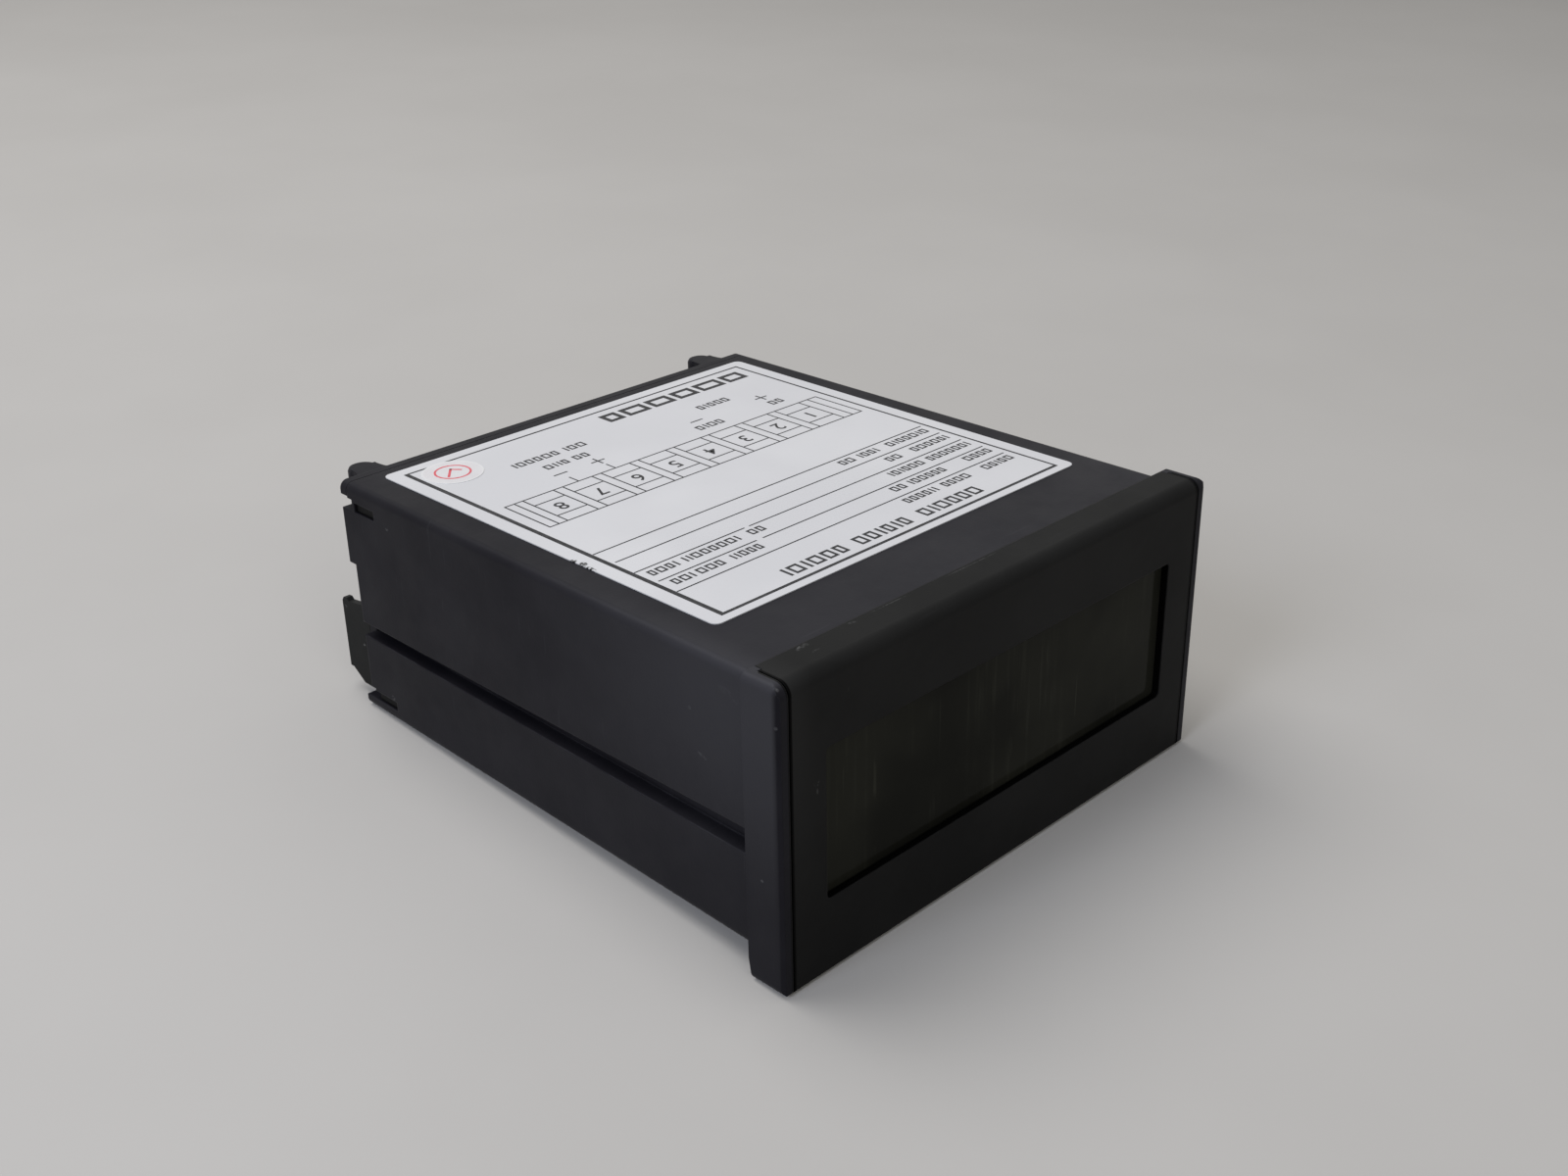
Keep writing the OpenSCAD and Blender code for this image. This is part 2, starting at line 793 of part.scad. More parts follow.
can_lip = 0.4;
can_neck = 0.35;
small_can_r = 4;
small_can_h = 12;
large_can_r = 6.3;
large_can_h = 22;
small_can_x = trans_x + core_half + small_can_r + 7;

module can(x, y, r, h, tint) {
  color(tint) place() translate([x, y, board_top]) difference() {
    rotate_extrude($fn = 48) polygon([
      [0, 0], [r - can_lip, 0], [r, can_lip], [r, 3.5 * can_lip],
      [r - can_neck, 4.5 * can_lip], [r - can_neck, 5.5 * can_lip], [r, 6.5 * can_lip],
      [r, h - can_lip], [r - can_lip, h], [r - 2.2 * can_lip, h],
      [r - 2.5 * can_lip, h - 0.8 * can_lip], [0, h - 0.8 * can_lip]
    ]);
    for (turn = [0, 90]) rotate([0, 0, turn])
      translate([0, 0, h]) cube([1.2 * r, can_lip, 2 * can_lip + 0.2], center = true);
  }
}

module supply_capacitor() {
  can(trans_x - 1, trans_y - coil_half_d - 2.5 * large_can_r, large_can_r, large_can_h, "#22305a");
}

module output_capacitor_1() {
  can(small_can_x, trans_y - small_can_r, small_can_r, small_can_h, "#1f2937");
}

module output_capacitor_2() {
  can(small_can_x, trans_y + 1.75 * small_can_r, small_can_r, small_can_h, "#1f2937");
}

// Chips: body with a round end mark, and two rows of legs

chip_w = 6.4;
chip_h = 3.2;
chip_lift = 0.6;
mark_r = 1.1;
leg_row = 8.2;
leg_pitch = 2.4;
leg_w = 1;
leg_t = 0.5;
leg_low = chip_lift + 1.3;
leg_high = leg_low + 0.4;
chip_x = board_half - chip_in;

module chip(x, y, turn, legs) {
  l = legs * leg_pitch + 0.4;
  color("#232325") place() translate([x, y, board_top]) rotate([0, 0, turn]) {
    difference() {
      block([-l / 2, -chip_w / 2, chip_lift], [l / 2, chip_w / 2, chip_lift + chip_h]);
      translate([-l / 2, 0, chip_h - chip_lift]) cylinder(r = mark_r, h = chip_h, $fn = 32);
    }
    for (i = [1:legs]) for (side = [-1, 1])
      translate([(i - (legs + 1) / 2) * leg_pitch, 0, 0]) scale_y(side) {
        block([-leg_w / 2, chip_w / 2 - leg_t, leg_low],
          [leg_w / 2, (leg_row + leg_t) / 2, leg_high]);
        block([-leg_t / 2, (leg_row - leg_t) / 2, 0],
          [leg_t / 2, (leg_row + leg_t) / 2, leg_high - 0.1]);
      }
  }
}

module microcontroller() { chip(chip_x - 10, board_front + row_a, 0, 14); }
module converter_chip() { chip(chip_x, board_front + row_b, 90, 7); }
module supply_chip() { chip(trans_x + 13, board_front + row_b - 2, 90, 4); }
module optocoupler() { chip(chip_x - 6, board_front + row_c, 0, 2); }

// Fuse in two clips, disc varistor and drum inductor

fuse_x = fuse_in - board_half;
fuse_y = trans_y - coil_half_d;
fuse_z = board_top + 4.4;
fuse_r = 2.3;
fuse_l = 20;
cap_r = 2.6;
cap_l = 5;
clip_l = 3.8;
clip_wall = 0.7;

module fuse() {
  color(steel) place() translate([fuse_x, fuse_y, fuse_z]) {
    rod_y(fuse_r, cap_l - over, fuse_l - cap_l + over);
    for (y = [0, fuse_l - cap_l]) rod_y(cap_r, y, y + cap_l);
  }
}

module fuse_clips() {
  half = cap_r + clip_wall;
  color(brass) place() translate([fuse_x, fuse_y, 0])
    for (y = [(cap_l - clip_l) / 2, fuse_l - (cap_l + clip_l) / 2]) difference() {
      block([-half, y, board_top], [half, y + clip_l, fuse_z + cap_r / 2]);
      translate([0, 0, fuse_z]) rod_y(cap_r + running_fit, y - over, y + clip_l + over);
      block([-clip_wall - 1.2, y - over, fuse_z], [clip_wall + 1.2, y + clip_l + over, fuse_z + cap_r]);
    }
}

disc_r = 5;
disc_t = 3.6;
disc_lift = 2;
wire_r = 0.4;

module varistor() {
  color("#2b62a8") place() translate([fuse_x, fuse_y - fuse_l + 2, board_top]) {
    translate([0, 0, disc_lift + disc_r]) rod_y(disc_r, 0, disc_t);
    both_sides() translate([disc_r / 2, disc_t / 2, 0])
      cylinder(r = wire_r, h = 2 * disc_lift, $fn = 24);
  }
}

drum_r = 4.5;
drum_h = 9;
drum_rim = 1.2;

module inductor() {
  color(ferrite) place() translate([trans_x + core_half - 1, trans_y + coil_half_d + drum_r + 1.5, board_top])
    rotate_extrude($fn = 48) polygon([
      [0, 0], [drum_r, 0], [drum_r, drum_rim], [drum_r - 0.6, drum_rim],
      [drum_r - 0.6, drum_h - drum_rim], [drum_r, drum_h - drum_rim], [drum_r, drum_h],
      [0, drum_h]
    ]);
}

// Small parts with wire ends, each bent down to the board

lead_r = 0.3;
lead_span = 10;
row_l = 12;
diode_r = 1.3;
diode_l = 5.2;
resistor_r = 0.95;
resistor_l = 6;

module axial(x, y, r, l) {
  translate([x, y, board_top + r + lead_r]) {
    rod_y(r, -l / 2, l / 2);
    rod_y(lead_r, -lead_span / 2, lead_span / 2);
    for (side = [-1, 1]) translate([0, side * (lead_span / 2 - lead_r), -r - lead_r])
      cylinder(r = lead_r, h = r + lead_r, $fn = 24);
  }
}

module rectifier_diodes() {
  color("#2a2a2c") place() for (i = [0:3])
    axial(chip_x + i * row_l / 3, board_front + row_d, diode_r, diode_l);
}

module resistors() {
  color("#c8ab7c") place() for (i = [0:7])
    axial(chip_x - 1.5 * row_l + 2 * i * row_l / 7, board_front + row_e, resistor_r, resistor_l);
}

housing();
front_bezel();
display_window();
nameplate();
inspection_sticker();
rear_cover();
terminal_block();
for (n = [1:terminal_count]) {
  terminal_contact(n);
  wire_clamp(n);
  terminal_screw(n);
}
main_board();
display_board();
for (n = [1:digit_count])
  digit(n);
header_bar();
header_pins();
trimmer(display_z + trimmer_apart / 2);  // zero_trimmer
rotor(display_z + trimmer_apart / 2);  // zero_rotor
trimmer(display_z - trimmer_apart / 2);  // span_trimmer
rotor(display_z - trimmer_apart / 2);  // span_rotor
transformer_core();
transformer_bobbin();
transformer_winding();
supply_capacitor();
output_capacitor_1();
output_capacitor_2();
microcontroller();
converter_chip();
supply_chip();
optocoupler();
fuse();
fuse_clips();
varistor();
inductor();
rectifier_diodes();
resistors();
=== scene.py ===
import math
import random
import bpy
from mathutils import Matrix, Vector


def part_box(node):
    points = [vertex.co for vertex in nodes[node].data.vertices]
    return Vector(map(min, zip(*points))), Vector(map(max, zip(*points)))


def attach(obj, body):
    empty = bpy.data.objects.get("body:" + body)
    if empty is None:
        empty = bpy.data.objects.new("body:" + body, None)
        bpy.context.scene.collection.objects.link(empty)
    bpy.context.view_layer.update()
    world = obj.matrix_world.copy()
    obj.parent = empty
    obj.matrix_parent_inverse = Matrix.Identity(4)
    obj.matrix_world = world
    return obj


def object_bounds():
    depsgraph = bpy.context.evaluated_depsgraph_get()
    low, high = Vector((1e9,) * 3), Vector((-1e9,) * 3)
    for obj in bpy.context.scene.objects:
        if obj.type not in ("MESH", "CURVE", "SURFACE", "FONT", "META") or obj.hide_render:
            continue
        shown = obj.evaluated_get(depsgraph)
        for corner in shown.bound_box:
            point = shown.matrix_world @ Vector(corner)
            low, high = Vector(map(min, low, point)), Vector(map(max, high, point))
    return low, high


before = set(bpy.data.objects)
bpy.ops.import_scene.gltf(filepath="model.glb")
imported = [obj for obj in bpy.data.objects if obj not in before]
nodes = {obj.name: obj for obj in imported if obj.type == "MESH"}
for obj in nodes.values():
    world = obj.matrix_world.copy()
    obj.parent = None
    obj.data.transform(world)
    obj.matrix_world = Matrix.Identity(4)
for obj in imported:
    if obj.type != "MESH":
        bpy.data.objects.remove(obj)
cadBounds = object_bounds()
frontY = cadBounds[0][1]
mm = 0.001
print("frame loaded:", len(nodes), "nodes")


# Small helpers for shader trees

def newMaterial(name):
    material = bpy.data.materials.new(name)
    material.use_nodes = True
    shader = material.node_tree.nodes["Principled BSDF"]
    return material, material.node_tree, shader


def feed(tree, socket, value):
    if isinstance(value, bpy.types.NodeSocket):
        tree.links.new(value, socket)
    elif value is not None:
        socket.default_value = value


def addNode(tree, kind, settings=None, **inputs):
    node = tree.nodes.new(kind)
    for key, value in (settings or {}).items():
        setattr(node, key, value)
    for key, value in inputs.items():
        feed(tree, node.inputs[key.replace("_", " ")], value)
    return node


def mathNode(tree, operation, first, second=None):
    node = tree.nodes.new("ShaderNodeMath")
    node.operation = operation
    for socket, value in zip(node.inputs, (first, second)):
        feed(tree, socket, value)
    return node.outputs[0]


def vectorNumber(tree, operation, first, second=None):  # a length, a distance or a dot product
    node = addNode(tree, "ShaderNodeVectorMath", {"operation": operation})
    feed(tree, node.inputs[0], first)
    feed(tree, node.inputs[1], second)
    return node.outputs["Value"]


def objectPlace(tree):
    return addNode(tree, "ShaderNodeTexCoord").outputs["Object"]


def axisOf(tree, vector, axis):
    return addNode(tree, "ShaderNodeSeparateXYZ", Vector=vector).outputs[axis]


def depthOf(tree, place):  # distance behind the front face
    return mathNode(tree, "SUBTRACT", axisOf(tree, place, 1), frontY)


def stretched(tree, vector, scale, turn=(0, 0, 0)):
    return addNode(tree, "ShaderNodeMapping", Vector=vector, Scale=scale, Rotation=turn).outputs[0]


def noise(tree, vector, scale, detail=3.0, roughness=0.55):
    return addNode(
        tree, "ShaderNodeTexNoise", Vector=vector, Scale=scale, Detail=detail, Roughness=roughness,
    ).outputs[0]


def remap(tree, value, low, high, toLow=0.0, toHigh=1.0):
    node = addNode(tree, "ShaderNodeMapRange", {"interpolation_type": "SMOOTHSTEP"}, Value=value)
    for key, number in (("From Min", low), ("From Max", high), ("To Min", toLow), ("To Max", toHigh)):
        node.inputs[key].default_value = number
    return node.outputs[0]


def band(tree, value, low, high, soft):
    rising = remap(tree, value, low - soft, low + soft)
    falling = remap(tree, value, high - soft, high + soft, 1.0, 0.0)
    return both(tree, rising, falling)


def both(tree, first, second):
    return mathNode(tree, "MULTIPLY", first, second)


def either(tree, first, second):
    return mathNode(tree, "MAXIMUM", first, second)


def mixColour(tree, factor, first, second):
    node = tree.nodes.new("ShaderNodeMix")
    node.data_type = "RGBA"
    feed(tree, node.inputs[0], factor)
    feed(tree, node.inputs[6], first)
    feed(tree, node.inputs[7], second)
    return node.outputs[2]


def mixNumber(tree, factor, first, second):
    node = tree.nodes.new("ShaderNodeMix")
    feed(tree, node.inputs[0], factor)
    feed(tree, node.inputs[2], first)
    feed(tree, node.inputs[3], second)
    return node.outputs[0]


def rgb(red, green, blue):
    return (red, green, blue, 1.0)


def bumpOn(tree, height, distance, normal=None):
    return addNode(
        tree, "ShaderNodeBump", Height=height, Distance=distance, Strength=1.0, Normal=normal,
    ).outputs[0]


def softEdges(tree, radius):  # rounds the moulded corners in the shading
    return addNode(tree, "ShaderNodeBevel", {"samples": 6}, Radius=radius).outputs[0]


def edgeWear(tree, rounded, low, high):  # 1 on the corners, 0 on the flats
    flat = addNode(tree, "ShaderNodeNewGeometry").outputs["Normal"]
    return remap(tree, vectorNumber(tree, "DOT_PRODUCT", rounded, flat), low, high, 1.0, 0.0)


def specks(tree, place, spacing, size, share):  # dust: a dot in some of the cells
    cells = addNode(tree, "ShaderNodeTexVoronoi", Vector=place, Scale=1 / spacing)
    dot = remap(tree, cells.outputs["Distance"], 0.4 * size, size, 1.0, 0.0)
    chosen = remap(tree, axisOf(tree, cells.outputs["Color"], 0), 1 - share, 1 - share + 0.01)
    return both(tree, dot, chosen)


def scratches(tree, place, scale, turn, low, high, patchSize):  # long thin marks in patches
    lines = noise(tree, stretched(tree, place, scale, turn), 1.0, 2.0, 0.5)
    patches = remap(tree, noise(tree, place, 1 / patchSize, 2.0), 0.5, 0.62)
    return both(tree, remap(tree, lines, low, high), patches)


def brushed(tree, place, marks):  # soft long dots, each with its place, size and turn
    total = None
    for (x, y, z), size, turn in marks:
        local = addNode(
            tree, "ShaderNodeMapping", {"vector_type": "TEXTURE"}, Vector=place,
            Location=(x * mm, frontY + y * mm, z * mm), Scale=tuple(each * mm for each in size),
            Rotation=tuple(math.radians(angle) for angle in turn),
        ).outputs[0]
        dot = remap(tree, vectorNumber(tree, "LENGTH", local), 0.30, 0.52, 1.0, 0.0)
        total = dot if total is None else either(tree, total, dot)
    broken = remap(tree, noise(tree, place, 1900, 3.0, 0.6), 0.40, 0.56)
    return both(tree, total, broken)


def finish(tree, shader, colour, roughness, normal=None):
    feed(tree, shader.inputs["Base Color"], colour)
    feed(tree, shader.inputs["Roughness"], roughness)
    if normal is not None:
        feed(tree, shader.inputs["Normal"], normal)


# Moulded black plastic of the case, the bezel and the terminal block. Marks are in millimetres from
# the middle of the front foot: place to the right, back and up, then size, then turn in degrees.

casePlastic = {
    "dark": rgb(0.0080, 0.0075, 0.0100),
    "light": rgb(0.0121, 0.0115, 0.0145),
    "paintedHighlight": rgb(0.0325, 0.0322, 0.0375),   # painted highlight: lighter where a broad reflection falls on the upper front
    "worn": rgb(0.026, 0.026, 0.030),
    # dust colour, also used for the painted glints and highlights
    "dust": rgb(0.15, 0.15, 0.155),
    "paintedShade": rgb(0.001, 0.001, 0.001),         # painted shade in the gaps and the window recess
    "roughness": (0.38, 0.50),
    "specular": 0.09,
    "sheen": rgb(0.86, 0.89, 1.0),
    "edgeRadius": 0.35 * mm,
    "crispRadius": 0.02 * mm,
    "grain": 0.012 * mm,
    "crispEdge": (5.7, 7.2),      # depth of the cheeks' rear edge, which stays sharp
    "seam": (46.0, 46.4, 5.3),    # painted shade in the gap beside the bezel: from, to, and how far back
    "paintedHighlightFrom": (0.3, 1.5),       # depth over which the painted highlight starts, behind the flange's front edge
    "marks": (
        ((-46.1, 11.6, 42.9), (0.8, 3.4, 1.3), (8, 0, 0)),
        ((-46.1, 9.8, 41.9), (0.8, 2.2, 0.9), (-20, 0, 0)),
        ((-46.1, 16.8, 30.9), (0.8, 2.2, 0.6), (20, 0, 0)),
        ((-46.1, 19.0, 37.5), (0.6, 0.8, 0.7), (0, 0, 0)),
        ((-48.0, 4.8, 39.2), (0.6, 0.6, 0.5), (0, 0, 0)),
        ((-47.9, 0.5, 42.3), (0.7, 0.6, 0.6), (0, 0, 0)),
        ((-47.9, 3.7, 17.7), (0.6, 0.7, 0.6), (0, 0, 0)),
        ((-45.5, 91.3, 42.1), (0.6, 0.8, 0.7), (0, 0, 0)),
        # painted glint on the lower latch window
        ((-45.2, 95.8, 9.6), (0.9, 1.2, 1.2), (0, 0, 0)),
        ((-45.4, 102.2, 21.9), (0.9, 0.8, 0.6), (0, 0, 0)),
        ((-44.8, 7.3, 46.9), (2.4, 0.7, 0.6), (0, 0, 20)),
        # painted highlight along the cheek's top outer edge
        ((-47.7, 3.4, 47.7), (0.5, 6.0, 0.5), (0, 0, 0)),
    ),
    # painted glint on the cheek's rounded top front corner
    "rubbed": (((-47.3, 1.1, 47.3), (1.0, 1.3, 1.0), (0, 0, 0)),),
}

coverPlastic = dict(casePlastic, seam=(43.6, 46.5, 101.5))   # painted shade on its latches, which are sunk into the case wall

bezelPlastic = {
    "dark": rgb(0.0088, 0.0088, 0.0087),
    "light": rgb(0.0124, 0.0124, 0.0122),
    # painted highlight, strongest at the upper left front
    "paintedHighlight": rgb(0.0200, 0.0200, 0.0198),
    "worn": rgb(0.020, 0.020, 0.021),
    "dust": rgb(0.13, 0.13, 0.13),
    "paintedShade": rgb(0.001, 0.001, 0.001),
    "roughness": (0.38, 0.46),
    "specular": 0.036,
    "sheen": rgb(1.0, 1.0, 1.0),
    "edgeRadius": 0.3 * mm,
    "grain": 0.010 * mm,
    # painted shade in the gap beside the cheeks: from, to, and how far back
    "seam": (45.5, 45.9, 60.0),
    "recess": {"lip": 0.15 * mm, "behind": 0.2 * mm, "margin": 1 * mm},   # painted shade on the recess walls round the window
    "marks": (
        ((-37.8, 6.0, 48.0), (2.2, 0.9, 0.6), (0, 0, 12)),
        ((-36.6, 6.2, 48.0), (0.7, 1.1, 0.6), (0, 0, 30)),
        ((-27.8, 6.1, 48.0), (1.5, 0.6, 0.6), (0, 0, -15)),
        ((-36.9, 4.0, 48.0), (1.6, 0.5, 0.5), (0, 0, 5)),
        # scratches along the lip's rear edge, partly painted highlight where that edge catches the light
        ((-2.4, 6.3, 48.0), (13.0, 0.3, 0.4), (0, 0, 0)),
        ((-20.0, 6.3, 48.0), (9.0, 0.3, 0.4), (0, 0, 0)),
        ((-40.9, 0.0, 31.2), (0.35, 0.6, 1.3), (0, 35, 0)),
        ((-41.4, 0.0, 31.2), (0.35, 0.6, 1.2), (0, -35, 0)),
        ((-41.0, 0.0, 30.2), (0.4, 0.6, 1.2), (0, 0, 0)),
        ((-35.0, 0.0, 43.0), (0.5, 0.6, 0.5), (0, 0, 0)),
    ),
    "rubbed": (((-37.8, 6.2, 48.0), (1.0, 0.5, 0.5), (0, 0, 20)),),
}

terminalPlastic = {
    "dark": rgb(0.0100, 0.0103, 0.0103),
    "light": rgb(0.0140, 0.0144, 0.0142),
    "worn": rgb(0.026, 0.027, 0.027),
    "dust": rgb(0.11, 0.11, 0.11),
    "roughness": (0.44, 0.56),
    "specular": 0.077,
    "sheen": rgb(1.0, 1.0, 1.0),
    "edgeRadius": 0.15 * mm,
    "grain": 0.014 * mm,
    "marks": (((-43.0, 111.5, 21.0), (0.8, 1.2, 0.7), (0, 0, 0)),),
    "rubbed": (((-43.2, 107.0, 15.0), (0.5, 1.0, 0.5), (0, 0, 0)),),
}

wearAndGlintCover = {"marks": 0.36, "rubbed": 0.9}   # how far the dust colour covers them; on the case the rubbed spot is a painted glint

paintedHighlightFades = {   # painted highlight: from and to in millimetres, and the strength at either end
    "depth": (0, 60, 1.0, 0.0),
    "height": (8, 44, 0.1, 1.0),
    "outward": (40, 46, 0.35, 1.0),
    "right": (0, 40, 1.0, 0.35),
}


def seamShadeMask(tree, outward, depth, seam):  # painted shade in the narrow gap beside the next piece
    near, far, back = seam
    return both(
        tree, band(tree, outward, near * mm, far * mm, 0.08 * mm),
        remap(tree, depth, (back - 0.2) * mm, back * mm, 1.0, 0.0),
    )


def recessShadeMask(tree, place, depth, recess):  # painted shade on the walls of the recess ahead of the window
    low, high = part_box("display_window")
    margin = recess["margin"]
    return both(
        tree, band(tree, depth, recess["lip"], low.y - frontY + recess["behind"], 0.05 * mm),
        both(
            tree, band(tree, axisOf(tree, place, 0), low.x - margin, high.x + margin, 0.1 * mm),
            band(tree, axisOf(tree, place, 2), low.z - margin, high.z + margin, 0.1 * mm),
        ),
    )


def paintedHighlightMask(tree, place, outward, depth, look):  # painted highlight, strongest at the upper left front corner
    values = {
        "depth": depth, "height": axisOf(tree, place, 2),
        "outward": outward, "right": axisOf(tree, place, 0),
    }
    mask = 1.0
    for key, (start, end, first, last) in paintedHighlightFades.items():
        mask = both(tree, mask, remap(tree, values[key], start * mm, end * mm, first, last))
    if "paintedHighlightFrom" in look:
        start, end = look["paintedHighlightFrom"]
        mask = both(tree, mask, remap(tree, depth, start * mm, end * mm))
    return mask


def plasticColour(tree, place, look, wear):
    cloud = noise(tree, place, 42, 4.0, 0.6)
    rubbed = scratches(tree, place, (90, 1500, 90), (0.3, 0.2, 0.5), 0.66, 0.74, 14 * mm)
    dust = specks(tree, place, 7 * mm, 0.022, 0.10)
    marks = both(tree, brushed(tree, place, look["marks"]), wearAndGlintCover["marks"])
    spots = both(tree, brushed(tree, place, look["rubbed"]), wearAndGlintCover["rubbed"])
    colour = mixColour(tree, remap(tree, cloud, 0.35, 0.65), look["dark"], look["light"])
    colour = mixColour(tree, both(tree, rubbed, mathNode(tree, "ADD", cloud, -0.1)), colour, look["worn"])
    colour = mixColour(tree, wear, colour, look["worn"])
    # dust specks, scuffs, and painted glints and highlights, all in the dust colour
    for mask in (dust, marks, spots):
        colour = mixColour(tree, mask, colour, look["dust"])
    return colour


def mouldedPlastic(name, look):
    material, tree, shader = newMaterial(name)
    place = objectPlace(tree)
    depth = depthOf(tree, place)
    outward = mathNode(tree, "ABSOLUTE", axisOf(tree, place, 0))
    worn = remap(tree, noise(tree, place, 160, 3.0), 0.42, 0.66)
    radius = look["edgeRadius"]
    if "crispEdge" in look:
        start, end = look["crispEdge"]
        crisp = band(tree, depth, start * mm, end * mm, 0.1 * mm)
        radius = mixNumber(tree, crisp, radius, look["crispRadius"])
        worn = both(tree, worn, mathNode(tree, "SUBTRACT", 1.0, crisp))
    rounded = softEdges(tree, radius)
    wear = both(tree, edgeWear(tree, rounded, 0.80, 0.97), worn)
    colour = plasticColour(tree, place, look, wear)
    # painted highlight on the upper front
    if "paintedHighlight" in look:
        highlight = paintedHighlightMask(tree, place, outward, depth, look)
        colour = mixColour(tree, highlight, colour, look["paintedHighlight"])
    # painted shade in the seams
    if "seam" in look:
        colour = mixColour(tree, seamShadeMask(tree, outward, depth, look["seam"]), colour, look["paintedShade"])
    # painted shade in the window recess
    if "recess" in look:
        colour = mixColour(tree, recessShadeMask(tree, place, depth, look["recess"]), colour, look["paintedShade"])
    grain = noise(tree, place, 2400, 2.0)
    smooth, rough = look["roughness"]
    roughness = remap(tree, noise(tree, place, 75, 5.0, 0.65), 0.3, 0.7, smooth, rough)
    shader.inputs["Specular IOR Level"].default_value = look["specular"]
    shader.inputs["Specular Tint"].default_value = look["sheen"]
    finish(tree, shader, colour, roughness, bumpOn(tree, grain, look["grain"], rounded))
    return material


# Smoked window: near black acrylic with fine upright rubbing marks

smokedWindow = {
    "dark": rgb(0.0098, 0.0099, 0.0080),
    "light": rgb(0.0190, 0.0192, 0.0150),
    "mark": rgb(0.034, 0.0345, 0.027),
    "dust": rgb(0.18, 0.18, 0.165),
    "rubbing": 0.38,          # strength of the upright rubbing marks
    "hairlines": 0.7,
    "roughness": (0.10, 0.22),
    "specular": 0.026,
}


def windowMaterial(name, look):
    material, tree, shader = newMaterial(name)
    place = objectPlace(tree)
    streak = noise(tree, stretched(tree, place, (900, 900, 45), (0, 0.22, 0)), 1.0, 3.0, 0.6)
    patch = remap(tree, noise(tree, place, 60, 3.0), 0.40, 0.64)
    rubbing = both(tree, remap(tree, streak, 0.50, 0.72), patch)
    hairline = scratches(tree, place, (1500, 1500, 26), (0, 0.26, 0), 0.66, 0.71, 11 * mm)
    dust = specks(tree, place, 6 * mm, 0.020, 0.10)
    cloud = remap(tree, noise(tree, place, 30, 3.0), 0.35, 0.65)
    colour = mixColour(tree, cloud, look["dark"], look["light"])
    colour = mixColour(tree, both(tree, rubbing, look["rubbing"]), colour, look["mark"])
    colour = mixColour(tree, both(tree, hairline, look["hairlines"]), colour, look["mark"])
    colour = mixColour(tree, dust, colour, look["dust"])
    clear, rubbed = look["roughness"]
    roughness = mixNumber(tree, rubbing, clear, rubbed)
    shader.inputs["Specular IOR Level"].default_value = look["specular"]
    finish(tree, shader, colour, roughness, bumpOn(tree, streak, 0.004 * mm))
    return material


# Printed film of the nameplate, its ink, and the little round sticker

labelFilm = {
    "pale": rgb(0.580, 0.580, 0.600),
    "clean": rgb(0.620, 0.620, 0.637),
    "dirt": rgb(0.16, 0.16, 0.165),
    "roughness": (0.30, 0.42),
    "specular": 0.4,
    "flecks": 0.4,
    "picked": rgb(0.012, 0.012, 0.013),
    "nicks": (   # picked edge of the film beside the second column of rules
        ((-39.5, 50.9, 47.1), (1.3, 1.5, 2.0), (0, 0, 20)),
        ((-39.1, 49.0, 47.1), (1.5, 1.6, 2.0), (0, 0, -30)),
        ((-39.5, 46.9, 47.1), (1.2, 3.0, 2.0), (0, 0, 0)),
    ),
}


def labelMaterial(name, look):
    material, tree, shader = newMaterial(name)
    place = objectPlace(tree)
    cloud = remap(tree, noise(tree, place, 24, 3.0), 0.35, 0.65)
    fleck = specks(tree, place, 5 * mm, 0.022, 0.12)
    colour = mixColour(tree, cloud, look["pale"], look["clean"])
    colour = mixColour(tree, both(tree, fleck, look["flecks"]), colour, look["dirt"])
    colour = mixColour(tree, brushed(tree, place, look["nicks"]), colour, look["picked"])
    smooth, rough = look["roughness"]
    roughness = remap(tree, noise(tree, place, 90, 4.0), 0.3, 0.7, smooth, rough)
    ripple = noise(tree, place, 700, 2.0)
    shader.inputs["Specular IOR Level"].default_value = look["specular"]
    finish(tree, shader, colour, roughness, bumpOn(tree, ripple, 0.004 * mm))
    return material


stickerFilm = {
    "middle": rgb(0.640, 0.625, 0.640),
    "rim": rgb(0.700, 0.700, 0.705),
    "roughness": (0.22, 0.34),
}


def stickerMaterial(name, look):
    material, tree, shader = newMaterial(name)
    place = objectPlace(tree)
    low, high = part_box("inspection_sticker")
    radius = (high.x - low.x) / 2
    away = vectorNumber(tree, "DISTANCE", place, (low + high) / 2)
    rim = remap(tree, away, 0.90 * radius, 0.99 * radius)
    cloud = remap(tree, noise(tree, place, 260, 3.0), 0.35, 0.65, 0.0, 0.5)
    colour = mixColour(tree, either(tree, rim, cloud), look["middle"], look["rim"])
    smooth, rough = look["roughness"]
    roughness = remap(tree, noise(tree, place, 300, 3.0), 0.3, 0.7, smooth, rough)
    finish(tree, shader, colour, roughness)
    return material


printInk = {
    "full": rgb(0.012, 0.012, 0.014),
    "thin": rgb(0.030, 0.030, 0.034),
    "roughness": (0.42, 0.55),
    "specular": 0.3,
}

redInk = dict(printInk, full=rgb(0.62, 0.075, 0.095), thin=rgb(0.66, 0.17, 0.20))


def inkMaterial(name, look):
    material, tree, shader = newMaterial(name)
    place = objectPlace(tree)
    worn = remap(tree, noise(tree, place, 1500, 3.0), 0.40, 0.70)
    colour = mixColour(tree, worn, look["full"], look["thin"])
    smooth, rough = look["roughness"]
    roughness = remap(tree, noise(tree, place, 800, 2.0), 0.3, 0.7, smooth, rough)
    shader.inputs["Specular IOR Level"].default_value = look["specular"]
    finish(tree, shader, colour, roughness)
    return material


# Metals

brass = {
    "bright": rgb(0.66, 0.47, 0.19),
    "tarnish": rgb(0.30, 0.19, 0.075),
    "roughness": (0.26, 0.5),
}

zincSteel = {
    "bright": rgb(0.60, 0.61, 0.63),
    "tarnish": rgb(0.36, 0.355, 0.34),
    "roughness": (0.24, 0.46),
}


